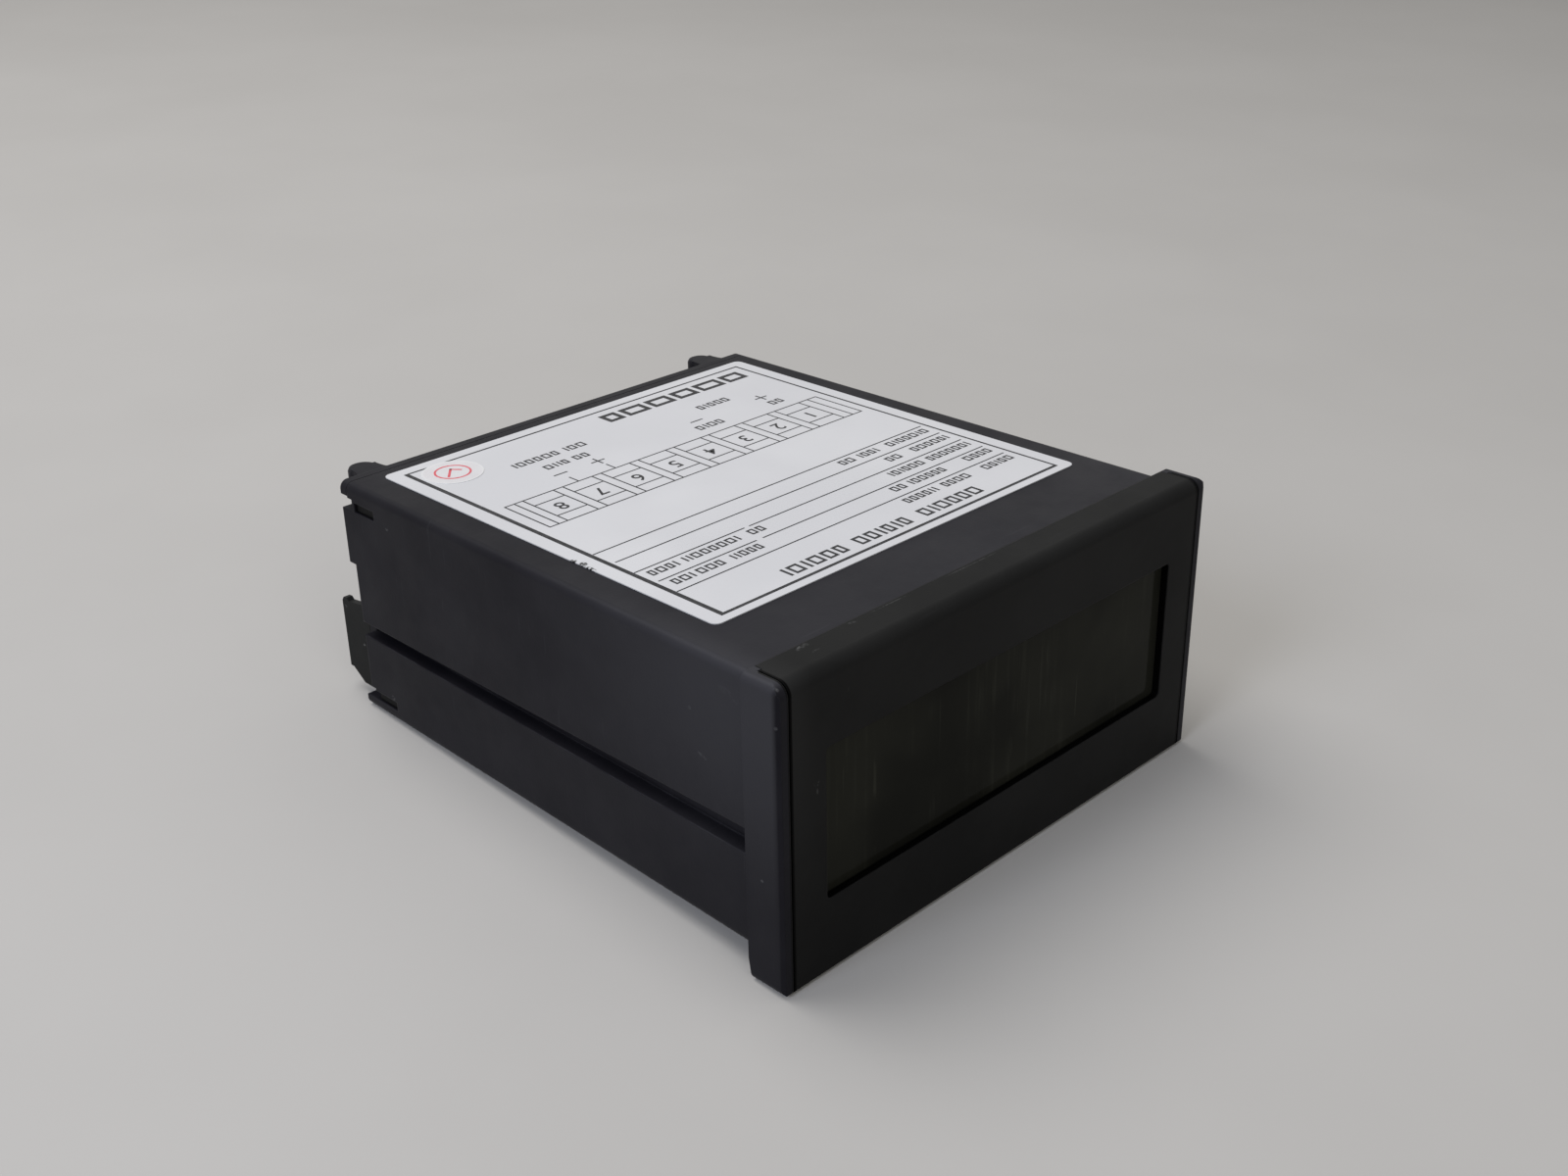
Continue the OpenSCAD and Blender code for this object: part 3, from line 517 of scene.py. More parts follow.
def metalMaterial(name, look):
    material, tree, shader = newMaterial(name)
    place = objectPlace(tree)
    rounded = softEdges(tree, 0.12 * mm)
    cloud = remap(tree, noise(tree, place, 420, 4.0, 0.6), 0.38, 0.68)
    lines = noise(tree, stretched(tree, place, (300, 5200, 5200)), 1.0, 2.0)
    edges = edgeWear(tree, rounded, 0.82, 0.97)
    colour = mixColour(tree, cloud, look["bright"], look["tarnish"])
    colour = mixColour(tree, edges, colour, look["bright"])
    smooth, rough = look["roughness"]
    roughness = mixNumber(tree, cloud, smooth, rough)
    shader.inputs["Metallic"].default_value = 1.0
    finish(tree, shader, colour, roughness, bumpOn(tree, lines, 0.006 * mm, rounded))
    return material


# Circuit boards: solder mask over faint tracks

boardMask = {
    "bare": rgb(0.020, 0.105, 0.045),
    "track": rgb(0.032, 0.170, 0.070),
    "pad": rgb(0.48, 0.48, 0.46),
    "edge": rgb(0.30, 0.27, 0.15),
    "pitch": 2.54 * mm,
    "trackWidth": 0.18 * mm,
    "relief": 0.03 * mm,
}


def boardMaterial(name, look, flatAxis):  # flatAxis is the one across the board's thickness
    material, tree, shader = newMaterial(name)
    place = objectPlace(tree)
    turn = (0, 0, 0) if flatAxis == 2 else (math.pi / 2, 0, 0)
    lines = addNode(
        tree, "ShaderNodeTexBrick", {"offset": 0.5, "squash": 1.0},
        Vector=stretched(tree, place, (1, 1, 1), turn), Scale=1.0,
        Mortar_Size=look["trackWidth"], Mortar_Smooth=0.2,
        Brick_Width=3 * look["pitch"], Row_Height=look["pitch"] / 2,
    ).outputs["Fac"]
    routed = both(tree, lines, remap(tree, noise(tree, place, 120, 2.0), 0.42, 0.52))
    cells = addNode(tree, "ShaderNodeTexVoronoi", Vector=place, Scale=1 / (2 * look["pitch"]))
    pads = remap(tree, cells.outputs["Distance"], 0.10, 0.13, 1.0, 0.0)
    colour = mixColour(tree, routed, look["bare"], look["track"])
    colour = mixColour(tree, pads, colour, look["pad"])
    flat = axisOf(tree, addNode(tree, "ShaderNodeNewGeometry").outputs["Normal"], flatAxis)
    cutEdge = remap(tree, mathNode(tree, "ABSOLUTE", flat), 0.4, 0.6, 1.0, 0.0)
    colour = mixColour(tree, cutEdge, colour, look["edge"])
    height = either(tree, routed, pads)
    roughness = remap(tree, noise(tree, place, 500, 2.0), 0.3, 0.7, 0.28, 0.42)
    finish(tree, shader, colour, roughness, bumpOn(tree, height, look["relief"]))
    return material


# Seven segment digits: grey face, pale sunk segments

digitFace = {
    "face": rgb(0.040, 0.040, 0.042),
    "segment": rgb(0.46, 0.42, 0.42),
    "side": rgb(0.30, 0.30, 0.29),
    "sunk": 0.1 * mm,           # depth of the segments
    "faceDepth": 0.6 * mm,      # behind it the side colour shows
}


def digitMaterial(name, look):
    material, tree, shader = newMaterial(name)
    place = objectPlace(tree)
    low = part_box("digit_1")[0]
    depth = mathNode(tree, "SUBTRACT", axisOf(tree, place, 1), low.y)
    flat = addNode(tree, "ShaderNodeNewGeometry").outputs["Normal"]
    facing = remap(tree, axisOf(tree, flat, 1), -0.9, -0.5, 1.0, 0.0)
    sunk, face = look["sunk"], look["faceDepth"]
    inside = remap(tree, depth, sunk, 1.6 * sunk)
    shallow = remap(tree, depth, face - 0.1 * mm, face + 0.1 * mm, 1.0, 0.0)
    segment = both(tree, both(tree, inside, shallow), facing)
    grain = noise(tree, place, 1800, 2.0)
    body = both(tree, remap(tree, depth, face, face + 0.3 * mm), remap(tree, grain, 0.2, 0.8, 0.8, 1.0))
    colour = mixColour(tree, segment, look["face"], look["segment"])
    colour = mixColour(tree, body, colour, look["side"])
    roughness = remap(tree, noise(tree, place, 400, 2.0), 0.3, 0.7, 0.42, 0.56)
    finish(tree, shader, colour, roughness, bumpOn(tree, grain, 0.01 * mm))
    return material


# Plain coats and mouldings of the parts on the boards: two tones, roughness and height of the grain

partFinishes = {
    "headerPlastic": (rgb(0.012, 0.012, 0.013), rgb(0.018, 0.018, 0.019), 0.45, 0.02 * mm),
    "trimmerBlue": (rgb(0.020, 0.075, 0.300), rgb(0.035, 0.110, 0.360), 0.34, 0.012 * mm),
    "rotorIvory": (rgb(0.70, 0.66, 0.55), rgb(0.78, 0.75, 0.66), 0.42, 0.010 * mm),
    "ferrite": (rgb(0.034, 0.034, 0.037), rgb(0.060, 0.060, 0.064), 0.62, 0.035 * mm),
    "bobbinCream": (rgb(0.60, 0.54, 0.40), rgb(0.70, 0.64, 0.50), 0.48, 0.012 * mm),
    "varistorCoat": (rgb(0.020, 0.110, 0.380), rgb(0.040, 0.160, 0.460), 0.28, 0.030 * mm),
}


def coatMaterial(name, first, second, roughness, relief):
    material, tree, shader = newMaterial(name)
    place = objectPlace(tree)
    rounded = softEdges(tree, 0.15 * mm)
    cloud = remap(tree, noise(tree, place, 380, 4.0, 0.6), 0.35, 0.65)
    grain = noise(tree, place, 2100, 3.0)
    edges = both(tree, edgeWear(tree, rounded, 0.82, 0.97), remap(tree, grain, 0.35, 0.6))
    colour = mixColour(tree, either(tree, cloud, edges), first, second)
    rough = remap(tree, grain, 0.3, 0.7, roughness - 0.06, roughness + 0.06)
    finish(tree, shader, colour, rough, bumpOn(tree, grain, relief, rounded))
    return material


# Winding: tape laid round the coil

windingTape = {"tape": rgb(0.70, 0.50, 0.05), "lap": rgb(0.42, 0.29, 0.03), "width": 3.9 * mm}


def windingMaterial(name, look):
    material, tree, shader = newMaterial(name)
    place = objectPlace(tree)
    turns = mathNode(tree, "MULTIPLY", axisOf(tree, place, 2), 1 / look["width"])
    lap = remap(tree, mathNode(tree, "FRACT", turns), 0.90, 0.97)
    cloud = remap(tree, noise(tree, place, 500, 3.0), 0.4, 0.7, 0.0, 0.35)
    colour = mixColour(tree, either(tree, lap, cloud), look["tape"], look["lap"])
    roughness = remap(tree, noise(tree, place, 700, 2.0), 0.3, 0.7, 0.22, 0.36)
    finish(tree, shader, colour, roughness, bumpOn(tree, lap, 0.05 * mm))
    return material


# Capacitors: shrunk sleeve with a pale stripe, bare can on top

capacitorSleeve = {
    "sleeve": rgb(0.014, 0.022, 0.075),
    "stripe": rgb(0.36, 0.40, 0.46),
    "can": rgb(0.62, 0.63, 0.64),
    "stripeHalf": 0.9 * mm,
    "topBand": 0.5 * mm,
    "sleeveEdge": 0.9 * mm,     # width of the sleeve's ring round the bare top
}


def capacitorMaterial(name, node, look):
    material, tree, shader = newMaterial(name)
    place = objectPlace(tree)
    low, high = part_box(node)
    middle = (low + high) / 2
    half = look["stripeHalf"]
    stripe = both(
        tree, band(tree, axisOf(tree, place, 0), middle.x - half, middle.x + half, 0.05 * mm),
        remap(tree, axisOf(tree, place, 1), middle.y - mm, middle.y, 1.0, 0.0),
    )
    away = vectorNumber(tree, "DISTANCE", stretched(tree, place, (1, 1, 0)), (middle.x, middle.y, 0))
    bare = (high.x - low.x) / 2 - look["sleeveEdge"]
    top = high.z - look["topBand"]
    onTop = both(
        tree, remap(tree, axisOf(tree, place, 2), top, top + 0.2 * look["topBand"]),
        remap(tree, away, bare, bare + 0.1 * mm, 1.0, 0.0),
    )
    cloud = noise(tree, place, 600, 3.0)
    colour = mixColour(tree, stripe, look["sleeve"], look["stripe"])
    colour = mixColour(tree, onTop, colour, look["can"])
    feed(tree, shader.inputs["Metallic"], onTop)
    roughness = remap(tree, cloud, 0.3, 0.7, 0.26, 0.38)
    finish(tree, shader, colour, roughness, bumpOn(tree, cloud, 0.01 * mm))
    return material


# Chips: epoxy body, tinned legs outside it

chipEpoxy = {
    "body": rgb(0.014, 0.014, 0.015),
    "dusty": rgb(0.024, 0.024, 0.025),
    "tin": rgb(0.58, 0.58, 0.57),
    "bodyHalf": 3.25 * mm,
    "legSpan": 8.7 * mm,      # overall, across the two rows of legs
}


def chipMaterial(name, node, look):
    material, tree, shader = newMaterial(name)
    place = objectPlace(tree)
    low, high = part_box(node)
    middle = (low + high) / 2
    legAxis = 0 if abs((high.x - low.x) - look["legSpan"]) < 0.01 * mm else 1
    offset = mathNode(tree, "SUBTRACT", axisOf(tree, place, legAxis), middle[legAxis])
    away = mathNode(tree, "ABSOLUTE", offset)
    legs = remap(tree, away, look["bodyHalf"], look["bodyHalf"] + 0.06 * mm)
    grain = noise(tree, place, 2600, 3.0)
    colour = mixColour(tree, remap(tree, grain, 0.3, 0.7), look["body"], look["dusty"])
    colour = mixColour(tree, legs, colour, look["tin"])
    feed(tree, shader.inputs["Metallic"], legs)
    roughness = mixNumber(tree, legs, remap(tree, grain, 0.3, 0.7, 0.50, 0.62), 0.3)
    finish(tree, shader, colour, roughness, bumpOn(tree, grain, 0.02 * mm, softEdges(tree, 0.12 * mm)))
    return material


# Parts with wire ends: coloured bands on resistors, one pale band on diodes

axialParts = {
    "resistor": {
        "node": "resistors",
        "coat": rgb(0.52, 0.37, 0.18),
        "halfLength": 3.0 * mm,
        "bands": (
            (-1.9, rgb(0.22, 0.07, 0.02)), (-0.8, rgb(0.02, 0.02, 0.02)),
            (0.3, rgb(0.50, 0.06, 0.03)), (1.9, rgb(0.46, 0.30, 0.06)),
        ),
        "bandHalf": 0.28 * mm,
        "roughness": (0.34, 0.46),
    },
    "diode": {
        "node": "rectifier_diodes",
        "coat": rgb(0.016, 0.016, 0.018),
        "halfLength": 2.6 * mm,
        "bands": ((-1.7, rgb(0.42, 0.42, 0.42)),),
        "bandHalf": 0.4 * mm,
        "roughness": (0.42, 0.54),
    },
}

axialShared = {"dusty": rgb(0.3, 0.28, 0.25), "wire": rgb(0.58, 0.57, 0.55), "wireRoughness": 0.28}


def axialMaterial(name, look):
    material, tree, shader = newMaterial(name)
    place = objectPlace(tree)
    low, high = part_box(look["node"])
    middle = (low.y + high.y) / 2
    along = axisOf(tree, place, 1)
    cloud = noise(tree, place, 900, 3.0)
    thinDust = remap(tree, cloud, 0.3, 0.7, 0.0, 0.25)
    colour = mixColour(tree, thinDust, look["coat"], axialShared["dusty"])
    for at, tint in look["bands"]:
        centre = middle + at * mm
        ring = band(tree, along, centre - look["bandHalf"], centre + look["bandHalf"], 0.04 * mm)
        colour = mixColour(tree, ring, colour, tint)
    away = mathNode(tree, "ABSOLUTE", mathNode(tree, "SUBTRACT", along, middle))
    wire = remap(tree, away, look["halfLength"] + 0.02 * mm, look["halfLength"] + 0.06 * mm)
    colour = mixColour(tree, wire, colour, axialShared["wire"])
    feed(tree, shader.inputs["Metallic"], wire)
    smooth, rough = look["roughness"]
    coatRoughness = remap(tree, cloud, 0.3, 0.7, smooth, rough)
    roughness = mixNumber(tree, wire, coatRoughness, axialShared["wireRoughness"])
    finish(tree, shader, colour, roughness, bumpOn(tree, cloud, 0.015 * mm))
    return material


# Fuse: glass between two metal caps

fuseLook = {
    "cap": rgb(0.62, 0.62, 0.60),
    "glass": rgb(0.46, 0.50, 0.49),
    "dull": rgb(0.35, 0.34, 0.30),
    "capLength": 5 * mm,
}


def fuseMaterial(name, look):
    material, tree, shader = newMaterial(name)
    place = objectPlace(tree)
    low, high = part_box("fuse")
    along = axisOf(tree, place, 1)
    glass = band(tree, along, low.y + look["capLength"], high.y - look["capLength"], 0.03 * mm)
    cloud = noise(tree, place, 500, 3.0)
    colour = mixColour(tree, glass, look["cap"], look["glass"])
    colour = mixColour(tree, remap(tree, cloud, 0.45, 0.75, 0.0, 0.4), colour, look["dull"])
    feed(tree, shader.inputs["Metallic"], mathNode(tree, "SUBTRACT", 1.0, glass))
    roughness = mixNumber(tree, glass, remap(tree, cloud, 0.3, 0.7, 0.25, 0.4), 0.08)
    finish(tree, shader, colour, roughness, bumpOn(tree, cloud, 0.006 * mm))
    return material


# One finish for each node

inkFinish = inkMaterial("printInk", printInk)
redFinish = inkMaterial("redInk", redInk)
brassFinish = metalMaterial("brass", brass)
steelFinish = metalMaterial("zincSteel", zincSteel)
digitFinish = digitMaterial("digitFace", digitFace)
coats = {name: coatMaterial(name, *values) for name, values in partFinishes.items()}

finishOf = {
    "housing": mouldedPlastic("casePlastic", casePlastic),
    "rear_cover": mouldedPlastic("coverPlastic", coverPlastic),
    "front_bezel": mouldedPlastic("bezelPlastic", bezelPlastic),
    "display_window": windowMaterial("smokedWindow", smokedWindow),
    "nameplate": labelMaterial("labelFilm", labelFilm),
    "inspection_sticker": stickerMaterial("stickerFilm", stickerFilm),
    "terminal_block": mouldedPlastic("terminalPlastic", terminalPlastic),
    "main_board": boardMaterial("mainBoard", boardMask, 2),
    "display_board": boardMaterial("displayBoard", boardMask, 1),
    "header_bar": coats["headerPlastic"],
    "header_pins": brassFinish,
    "zero_trimmer": coats["trimmerBlue"],
    "span_trimmer": coats["trimmerBlue"],
    "zero_rotor": coats["rotorIvory"],
    "span_rotor": coats["rotorIvory"],
    "transformer_core": coats["ferrite"],
    "transformer_bobbin": coats["bobbinCream"],
    "transformer_winding": windingMaterial("windingTape", windingTape),
    "inductor": coats["ferrite"],
    "varistor": coats["varistorCoat"],
    "fuse": fuseMaterial("fuseGlass", fuseLook),
    "fuse_clips": brassFinish,
    "resistors": axialMaterial("resistorCoat", axialParts["resistor"]),
    "rectifier_diodes": axialMaterial("diodeEpoxy", axialParts["diode"]),
}
for node in ("supply_capacitor", "output_capacitor_1", "output_capacitor_2"):
    finishOf[node] = capacitorMaterial(node.replace("_", "") + "Sleeve", node, capacitorSleeve)
for node in ("microcontroller", "converter_chip", "supply_chip", "optocoupler"):
    finishOf[node] = chipMaterial(node.replace("_", "") + "Epoxy", node, chipEpoxy)
for name in nodes:
    if name.startswith("digit_"):
        finishOf[name] = digitFinish
    if name.startswith("terminal_contact_"):
        finishOf[name] = brassFinish
    if name.startswith(("terminal_screw_", "wire_clamp_")):
        finishOf[name] = steelFinish

for name, piece in nodes.items():
    piece.data.materials.clear()
    piece.data.materials.append(finishOf[name])
print("finishes given to", len(finishOf), "nodes")


# Print on the nameplate. Places are read as the print is: across from its left, down from its top,
# in millimetres. Words are rows of open boxes, the terminals keep their numbers.

labelPrint = {
    "ink": 0.02,             # height of the ink
    "frame": {"left": 2.75, "right": 77.5, "top": 1.85, "bottom": 77.55},
    "frameLines": {"left": 0.42, "right": 0.82, "top": 0.62, "bottom": 0.42},
    "rule": 0.27,
    "rules": (                # left, right, down
        (4.0, 77.0, 11.7), (4.0, 55.7, 16.2), (57.0, 76.5, 16.2), (4.0, 54.0, 20.9),
        (55.0, 77.0, 20.9), (4.0, 76.5, 25.7), (3.7, 77.0, 30.2),
    ),
    "title": ((19.0, 33.2), (35.8, 48.0), (50.0, 63.0)),
    "titleRow": (3.5, 6.2),
    "titleStroke": 0.50,
    "wordStroke": 0.35,
    "heading": (5.0, 38.6, 71.7, 75.5),           # left, right, top, bottom
    "headingStroke": 0.95,
    "wordShapes": (0.0, 0.6, 0.66, 0.72, 0.8),    # widths as shares of the height; 0 is an upright
    "headingShapes": (1.25, 1.35, 1.5),
    "gaps": (0.30, 0.24),    # after an upright and after a box, as shares of the height
    "words": (                # left, right, top, bottom
        (4.5, 12.5, 8.9, 10.7), (15.5, 22.5, 8.9, 10.7), (23.4, 31.4, 8.9, 10.7),
        (4.5, 11.0, 13.5, 15.3), (16.2, 24.8, 13.5, 15.3), (25.8, 29.0, 13.5, 15.3),
        (57.8, 64.0, 13.5, 15.3), (65.6, 70.6, 13.5, 15.3), (71.4, 76.2, 13.5, 15.3),
        (4.5, 15.0, 18.1, 19.9), (16.2, 25.0, 18.1, 19.9),
        (52.9, 56.4, 18.1, 19.9), (58.1, 69.6, 18.1, 19.9), (70.4, 76.2, 18.1, 19.9),
        (4.5, 14.0, 22.8, 24.6), (16.5, 20.2, 22.8, 24.6),
        (4.5, 15.0, 27.4, 29.2), (17.0, 21.8, 27.4, 29.2), (22.9, 26.6, 27.4, 29.2),
        (10.1, 13.0, 57.0, 58.9), (24.8, 31.0, 57.0, 58.9), (16.4, 23.7, 64.6, 66.5),
        (51.2, 54.2, 62.0, 63.8), (55.5, 61.2, 62.0, 63.8),
        (48.4, 53.0, 66.3, 68.2), (54.2, 63.6, 66.3, 68.2),
    ),
    "strip": {"left": 4.9, "right": 74.9, "top": 43.0, "bottom": 54.4, "line": 0.27},
    "stripUprights": (7.1, 73.1),
    "cells": {"first": 9.3, "pitch": 8.0, "wide": 6.1, "top": 45.7, "bottom": 51.4, "count": 8},
    "signs": (                # across, down, and whether it is a plus
        (11.9, 61.4, True), (28.0, 61.1, False), (52.2, 59.0, True), (60.0, 59.1, False),
    ),
    "signSize": (2.8, 0.32),  # length and width of the strokes
    "leaders": ((52.2, 54.4, 56.9), (60.0, 54.4, 56.9)),      # across, top, bottom
    "number": {"size": 4.1, "middle": 48.55, "bold": 0.03},
}

plateLow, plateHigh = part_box("nameplate")
seeded = random.Random(5)


def readPlace(across, down):  # the print is read from the back of the case
    return Vector((plateHigh.x - across * mm, plateLow.y + down * mm, plateHigh.z))


def deselectAll():
    for each in bpy.context.selected_objects:
        each.select_set(False)


def startPrint(name):  # an empty mesh in edit mode, its object at the origin
    deselectAll()
    bpy.ops.mesh.primitive_plane_add(size=mm, location=(0, 0, 0))
    piece = bpy.context.object
    piece.name = name
    bpy.ops.object.mode_set(mode="EDIT")
    bpy.ops.mesh.select_all(action="SELECT")
    bpy.ops.mesh.delete(type="VERT")
    return piece


def bar(left, right, top, bottom):
    middle = readPlace((left + right) / 2, (top + bottom) / 2)
    bpy.ops.mesh.primitive_plane_add(size=1, location=middle)
    bpy.ops.transform.resize(
        value=((right - left) * mm, (bottom - top) * mm, 1), center_override=middle,
    )


def line(left, right, down, thick):
    bar(left, right, down - thick / 2, down + thick / 2)


def upright(across, top, bottom, thick):
    bar(across - thick / 2, across + thick / 2, top, bottom)


def boxOutline(left, right, top, bottom, thick):
    line(left - thick / 2, right + thick / 2, top, thick)
    line(left - thick / 2, right + thick / 2, bottom, thick)
    upright(left, top + thick / 2, bottom - thick / 2, thick)
    upright(right, top + thick / 2, bottom - thick / 2, thick)


def wordBoxes(look, left, right, top, bottom, stroke, shapes):  # small open boxes and uprights
    height = bottom - top
    uprightGap, boxGap = [share * height for share in look["gaps"]]
    at = left
    while at < right - uprightGap:
        wide = min(seeded.choice(shapes) * height, right - at)
        if wide < 3 * stroke:
            bar(at, at + stroke, top, bottom)
            at += stroke + uprightGap
            continue
        boxOutline(at + stroke / 2, at + wide - stroke / 2, top + stroke / 2, bottom - stroke / 2, stroke)
        at += wide + boxGap


def raisePrint(piece, height, material):
    bpy.ops.mesh.select_all(action="SELECT")
    bpy.ops.mesh.extrude_region_move(TRANSFORM_OT_translate={"value": (0, 0, height * mm)})
    bpy.ops.mesh.select_all(action="SELECT")
    bpy.ops.mesh.normals_make_consistent(inside=False)
    bpy.ops.object.mode_set(mode="OBJECT")
    piece.data.materials.append(material)
    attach(piece, "meter")


def printRules(look):
    piece = startPrint("labelRules")
    edge, thick = look["frame"], look["frameLines"]
    outerLeft, outerRight = edge["left"] - thick["left"] / 2, edge["right"] + thick["right"] / 2
    inTop, inBottom = edge["top"] + thick["top"] / 2, edge["bottom"] - thick["bottom"] / 2
    for side in ("top", "bottom"):
        line(outerLeft, outerRight, edge[side], thick[side])
    for side in ("left", "right"):
        upright(edge[side], inTop, inBottom, thick[side])
    for left, right, down in look["rules"]:
        line(left, right, down, look["rule"])
    strip = look["strip"]
    boxOutline(strip["left"], strip["right"], strip["top"], strip["bottom"], strip["line"])
    inTop, inBottom = strip["top"] + strip["line"] / 2, strip["bottom"] - strip["line"] / 2
    for across in look["stripUprights"]:
        upright(across, inTop, inBottom, strip["line"])
    cells = look["cells"]
    for number in range(cells["count"]):
        left = cells["first"] + number * cells["pitch"]
        right = left + cells["wide"]
        upright(left, inTop, inBottom, strip["line"])
        upright(right, inTop, inBottom, strip["line"])
        for down in (cells["top"], cells["bottom"]):
            line(left + strip["line"] / 2, right - strip["line"] / 2, down, strip["line"])
    for across, top, bottom in look["leaders"]:
        upright(across, top, bottom, look["rule"])
    raisePrint(piece, look["ink"], inkFinish)


def printWords(look):
    piece = startPrint("labelWords")
    top, bottom = look["titleRow"]
    for left, right in look["title"]:
        wordBoxes(look, left, right, top, bottom, look["titleStroke"], look["wordShapes"])
    wordBoxes(look, *look["heading"], look["headingStroke"], look["headingShapes"])
    for word in look["words"]:
        wordBoxes(look, *word, look["wordStroke"], look["wordShapes"])
    size, thick = look["signSize"]
    for across, down, plus in look["signs"]:
        line(across - size / 2, across + size / 2, down, thick)
        if plus:
            upright(across, down - size / 2, down - thick / 2, thick)
            upright(across, down + thick / 2, down + size / 2, thick)
    raisePrint(piece, look["ink"], inkFinish)


def printNumbers(look):
    cells, number = look["cells"], look["number"]
    made = []
    for index in range(cells["count"]):
        middle = cells["first"] + index * cells["pitch"] + cells["wide"] / 2
        deselectAll()
        bpy.ops.object.text_add(location=readPlace(middle, number["middle"]), rotation=(0, 0, math.pi))
        figure = bpy.context.object
        figure.data.body = str(index + 1)
        figure.data.size = number["size"] * mm
        figure.data.align_x = "CENTER"
        figure.data.align_y = "CENTER"
        figure.data.extrude = look["ink"] * mm / 2
        figure.data.offset = number["bold"] * mm
        figure.data.resolution_u = 6
        bpy.ops.object.convert(target="MESH")
        bpy.ops.object.transform_apply(location=True, rotation=True, scale=True)
        made.append(figure)
    deselectAll()
    for figure in made:
        figure.select_set(True)
    bpy.context.view_layer.objects.active = made[0]
    bpy.ops.object.join()
    piece = bpy.context.object
    piece.name = "terminalNumbers"
    bpy.ops.object.mode_set(mode="EDIT")
    bpy.ops.mesh.select_all(action="SELECT")
    bpy.ops.mesh.remove_doubles(threshold=0.001 * mm)
    bpy.ops.transform.translate(value=(0, 0, look["ink"] * mm / 2))
    bpy.ops.mesh.normals_make_consistent(inside=False)
    bpy.ops.object.mode_set(mode="OBJECT")
    piece.data.materials.clear()
    piece.data.materials.append(inkFinish)
    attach(piece, "meter")


printRules(labelPrint)
printWords(labelPrint)
printNumbers(labelPrint)
print("nameplate printed")


# Red ring and tick on the sticker

stickerMark = {
    "outer": 3.1,
    "inner": 2.75,
    "tick": ((-1.5, 0.1), (-0.4, -1.2), (1.7, 1.3)),
    "stroke": 0.42,
    "ink": 0.02,
}


def printSticker(look):
    low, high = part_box("inspection_sticker")
    middle = Vector(((low.x + high.x) / 2, (low.y + high.y) / 2, high.z))
    piece = startPrint("stickerMark")
    bpy.ops.mesh.primitive_circle_add(
        vertices=64, radius=look["outer"] * mm, fill_type="NGON", location=middle,
    )
    bpy.ops.mesh.inset(thickness=(look["outer"] - look["inner"]) * mm, depth=0)
    bpy.ops.mesh.delete(type="FACE")
    for (x0, y0), (x1, y1) in zip(look["tick"], look["tick"][1:]):
        start = middle - Vector((x0, y0, 0)) * mm
        end = middle - Vector((x1, y1, 0)) * mm
        centre = (start + end) / 2
        turn = math.atan2(end.y - start.y, end.x - start.x)
        sine, cosine = math.sin(turn), math.cos(turn)
        bpy.ops.mesh.select_all(action="DESELECT")
        bpy.ops.mesh.primitive_plane_add(size=1, location=centre, rotation=(0, 0, turn))
        bpy.ops.transform.resize(
            value=((end - start).length + look["stroke"] * mm, look["stroke"] * mm, 1),
            orient_type="LOCAL", orient_matrix_type="LOCAL", center_override=centre,
            orient_matrix=((cosine, sine, 0), (-sine, cosine, 0), (0, 0, 1)),
        )
    raisePrint(piece, look["ink"], redFinish)


printSticker(stickerMark)
print("sticker marked")


# Floor, light and camera

studio = {
    "floorSize": 7.0,
    "floorTilt": 3.04,          # degrees: the case stands on its bezel's foot and its rear edge
    "floorFrom": 6.3 * mm,      # depth at which the floor is at height 0
    "floorDark": rgb(0.465, 0.452, 0.436),
    "floorLight": rgb(0.485, 0.472, 0.456),
    "background": rgb(0.62, 0.615, 0.60),
    "daylight": 0.55,
}

lamps = {   # place, target, size, power and tint
    "overheadSoft": ((-0.15, 0.45, 1.10), (0, 0, 0), 0.9, 8.3, (1.0, 0.99, 0.98)),
    "leftWindow": ((-0.85, -0.10, 0.62), (0, -0.03, 0.03), 0.45, 4.6, (0.80, 0.86, 1.0)),
    "frontFill": ((-0.25, -0.70, 0.50), (0, -0.03, 0.03), 0.35, 0.7, (1.0, 0.98, 0.96)),
}

cameraLook = {
    "sensor": 36,
    "lens": 41.028,
    "place": (-0.184424, -0.196308, 0.155260),
    "turn": (64.5372, 1.03135, -45.0426),   # degrees
}


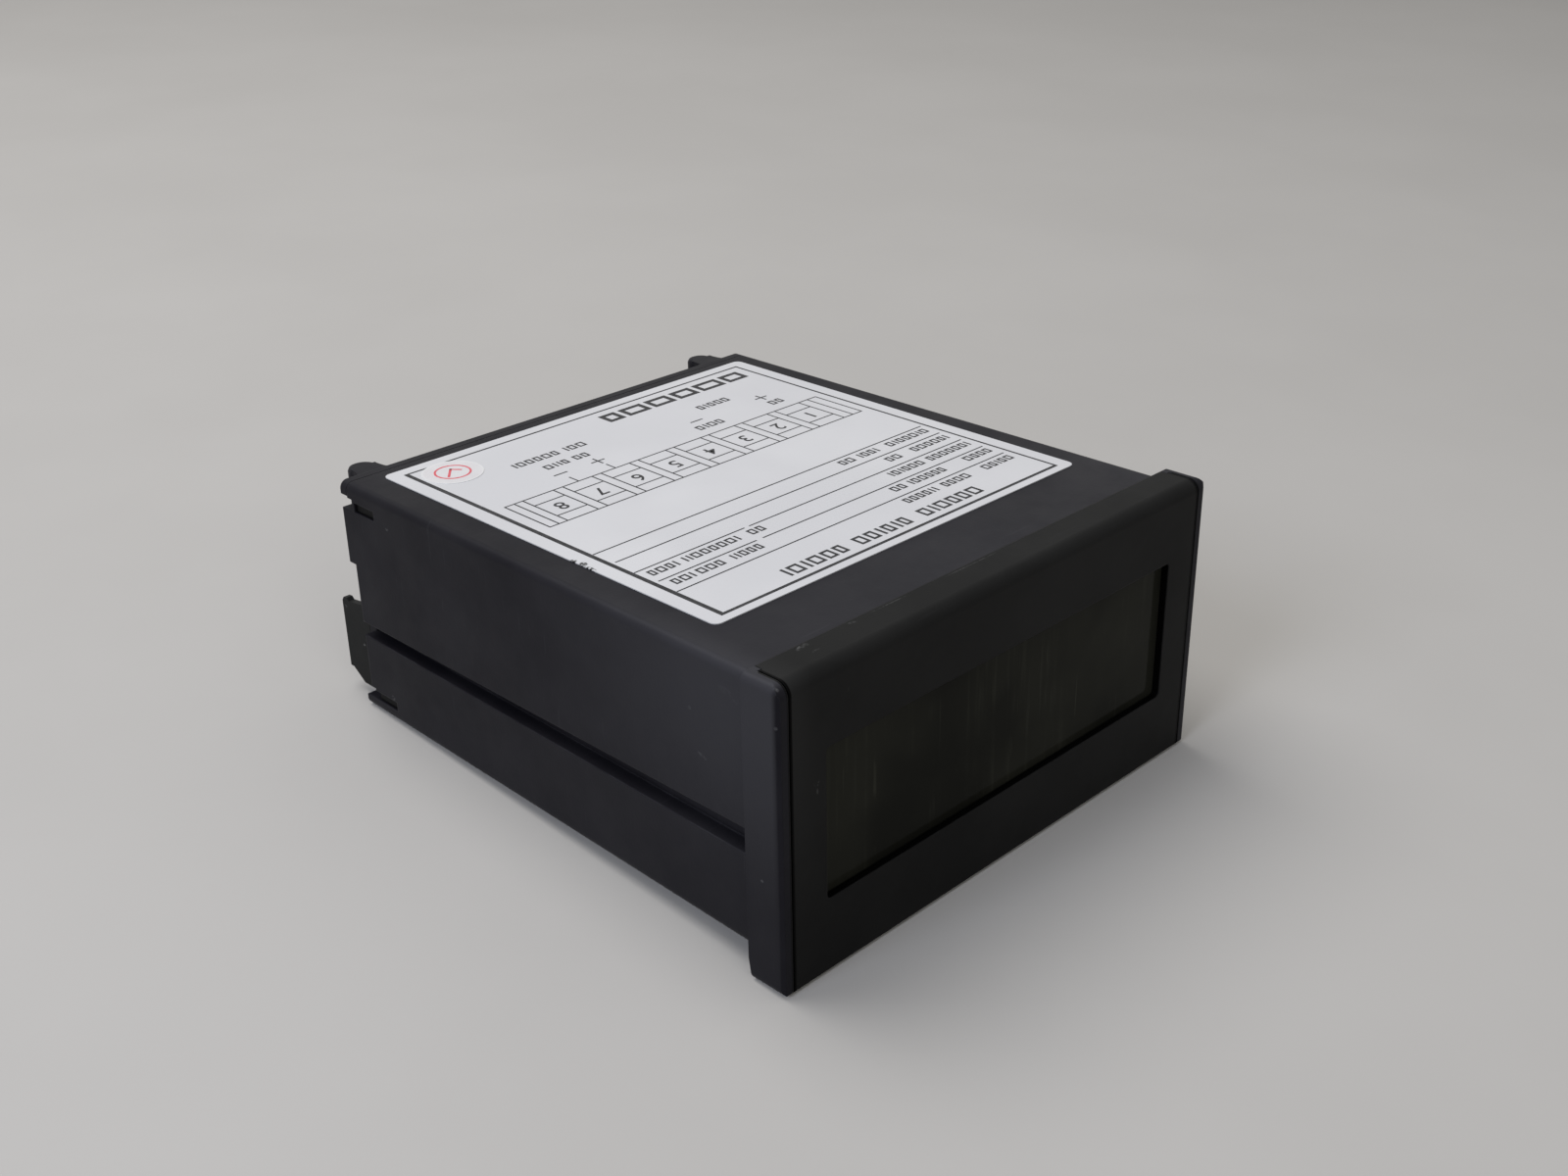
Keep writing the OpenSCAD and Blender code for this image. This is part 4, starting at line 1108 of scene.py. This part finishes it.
def floorMaterial(name, look):
    material, tree, shader = newMaterial(name)
    place = objectPlace(tree)
    cloud = remap(tree, noise(tree, place, 9, 4.0), 0.3, 0.7)
    colour = mixColour(tree, cloud, look["floorDark"], look["floorLight"])
    shader.inputs["Specular IOR Level"].default_value = 0.1
    finish(tree, shader, colour, remap(tree, cloud, 0.0, 1.0, 0.75, 0.85))
    return material


def makeFloor(look):
    deselectAll()
    middle = Vector((0, frontY + look["floorFrom"], 0))
    bpy.ops.mesh.primitive_plane_add(size=look["floorSize"], location=middle)
    floor = bpy.context.object
    floor.name = "floor"
    floor.rotation_euler = (math.radians(look["floorTilt"]), 0, 0)
    floor.data.materials.append(floorMaterial("floorPaint", look))


def areaLamp(name, place, target, size, power, tint):
    data = bpy.data.lights.new(name, "AREA")
    data.shape = "DISK"
    data.size = size
    data.energy = power
    data.color = tint
    lamp = bpy.data.objects.new(name, data)
    bpy.context.scene.collection.objects.link(lamp)
    lamp.location = place
    lamp.rotation_euler = (Vector(target) - Vector(place)).to_track_quat("-Z", "Y").to_euler()


def makeWorld(look):  # dimmer as a light than as a backdrop
    world = bpy.data.worlds.new("studio")
    bpy.context.scene.world = world
    world.use_nodes = True
    tree = world.node_tree
    shader = tree.nodes["Background"]
    rays = addNode(tree, "ShaderNodeLightPath")
    seen = either(tree, rays.outputs["Is Camera Ray"], rays.outputs["Is Glossy Ray"])
    seen = either(tree, seen, rays.outputs["Is Transmission Ray"])
    shader.inputs["Color"].default_value = look["background"]
    feed(tree, shader.inputs["Strength"], mixNumber(tree, seen, look["daylight"], 1.0))


def makeCamera(look):
    data = bpy.data.cameras.new("camera")
    data.sensor_width = look["sensor"]
    data.lens = look["lens"]
    data.clip_start = 0.01
    camera = bpy.data.objects.new("camera", data)
    bpy.context.scene.collection.objects.link(camera)
    camera.location = look["place"]
    camera.rotation_euler = [math.radians(angle) for angle in look["turn"]]
    bpy.context.scene.camera = camera


makeFloor(studio)
makeWorld(studio)
for name, values in lamps.items():
    areaLamp(name, *values)
makeCamera(cameraLook)
bpy.context.scene.view_settings.view_transform = "Standard"
print("floor, lights and camera placed")
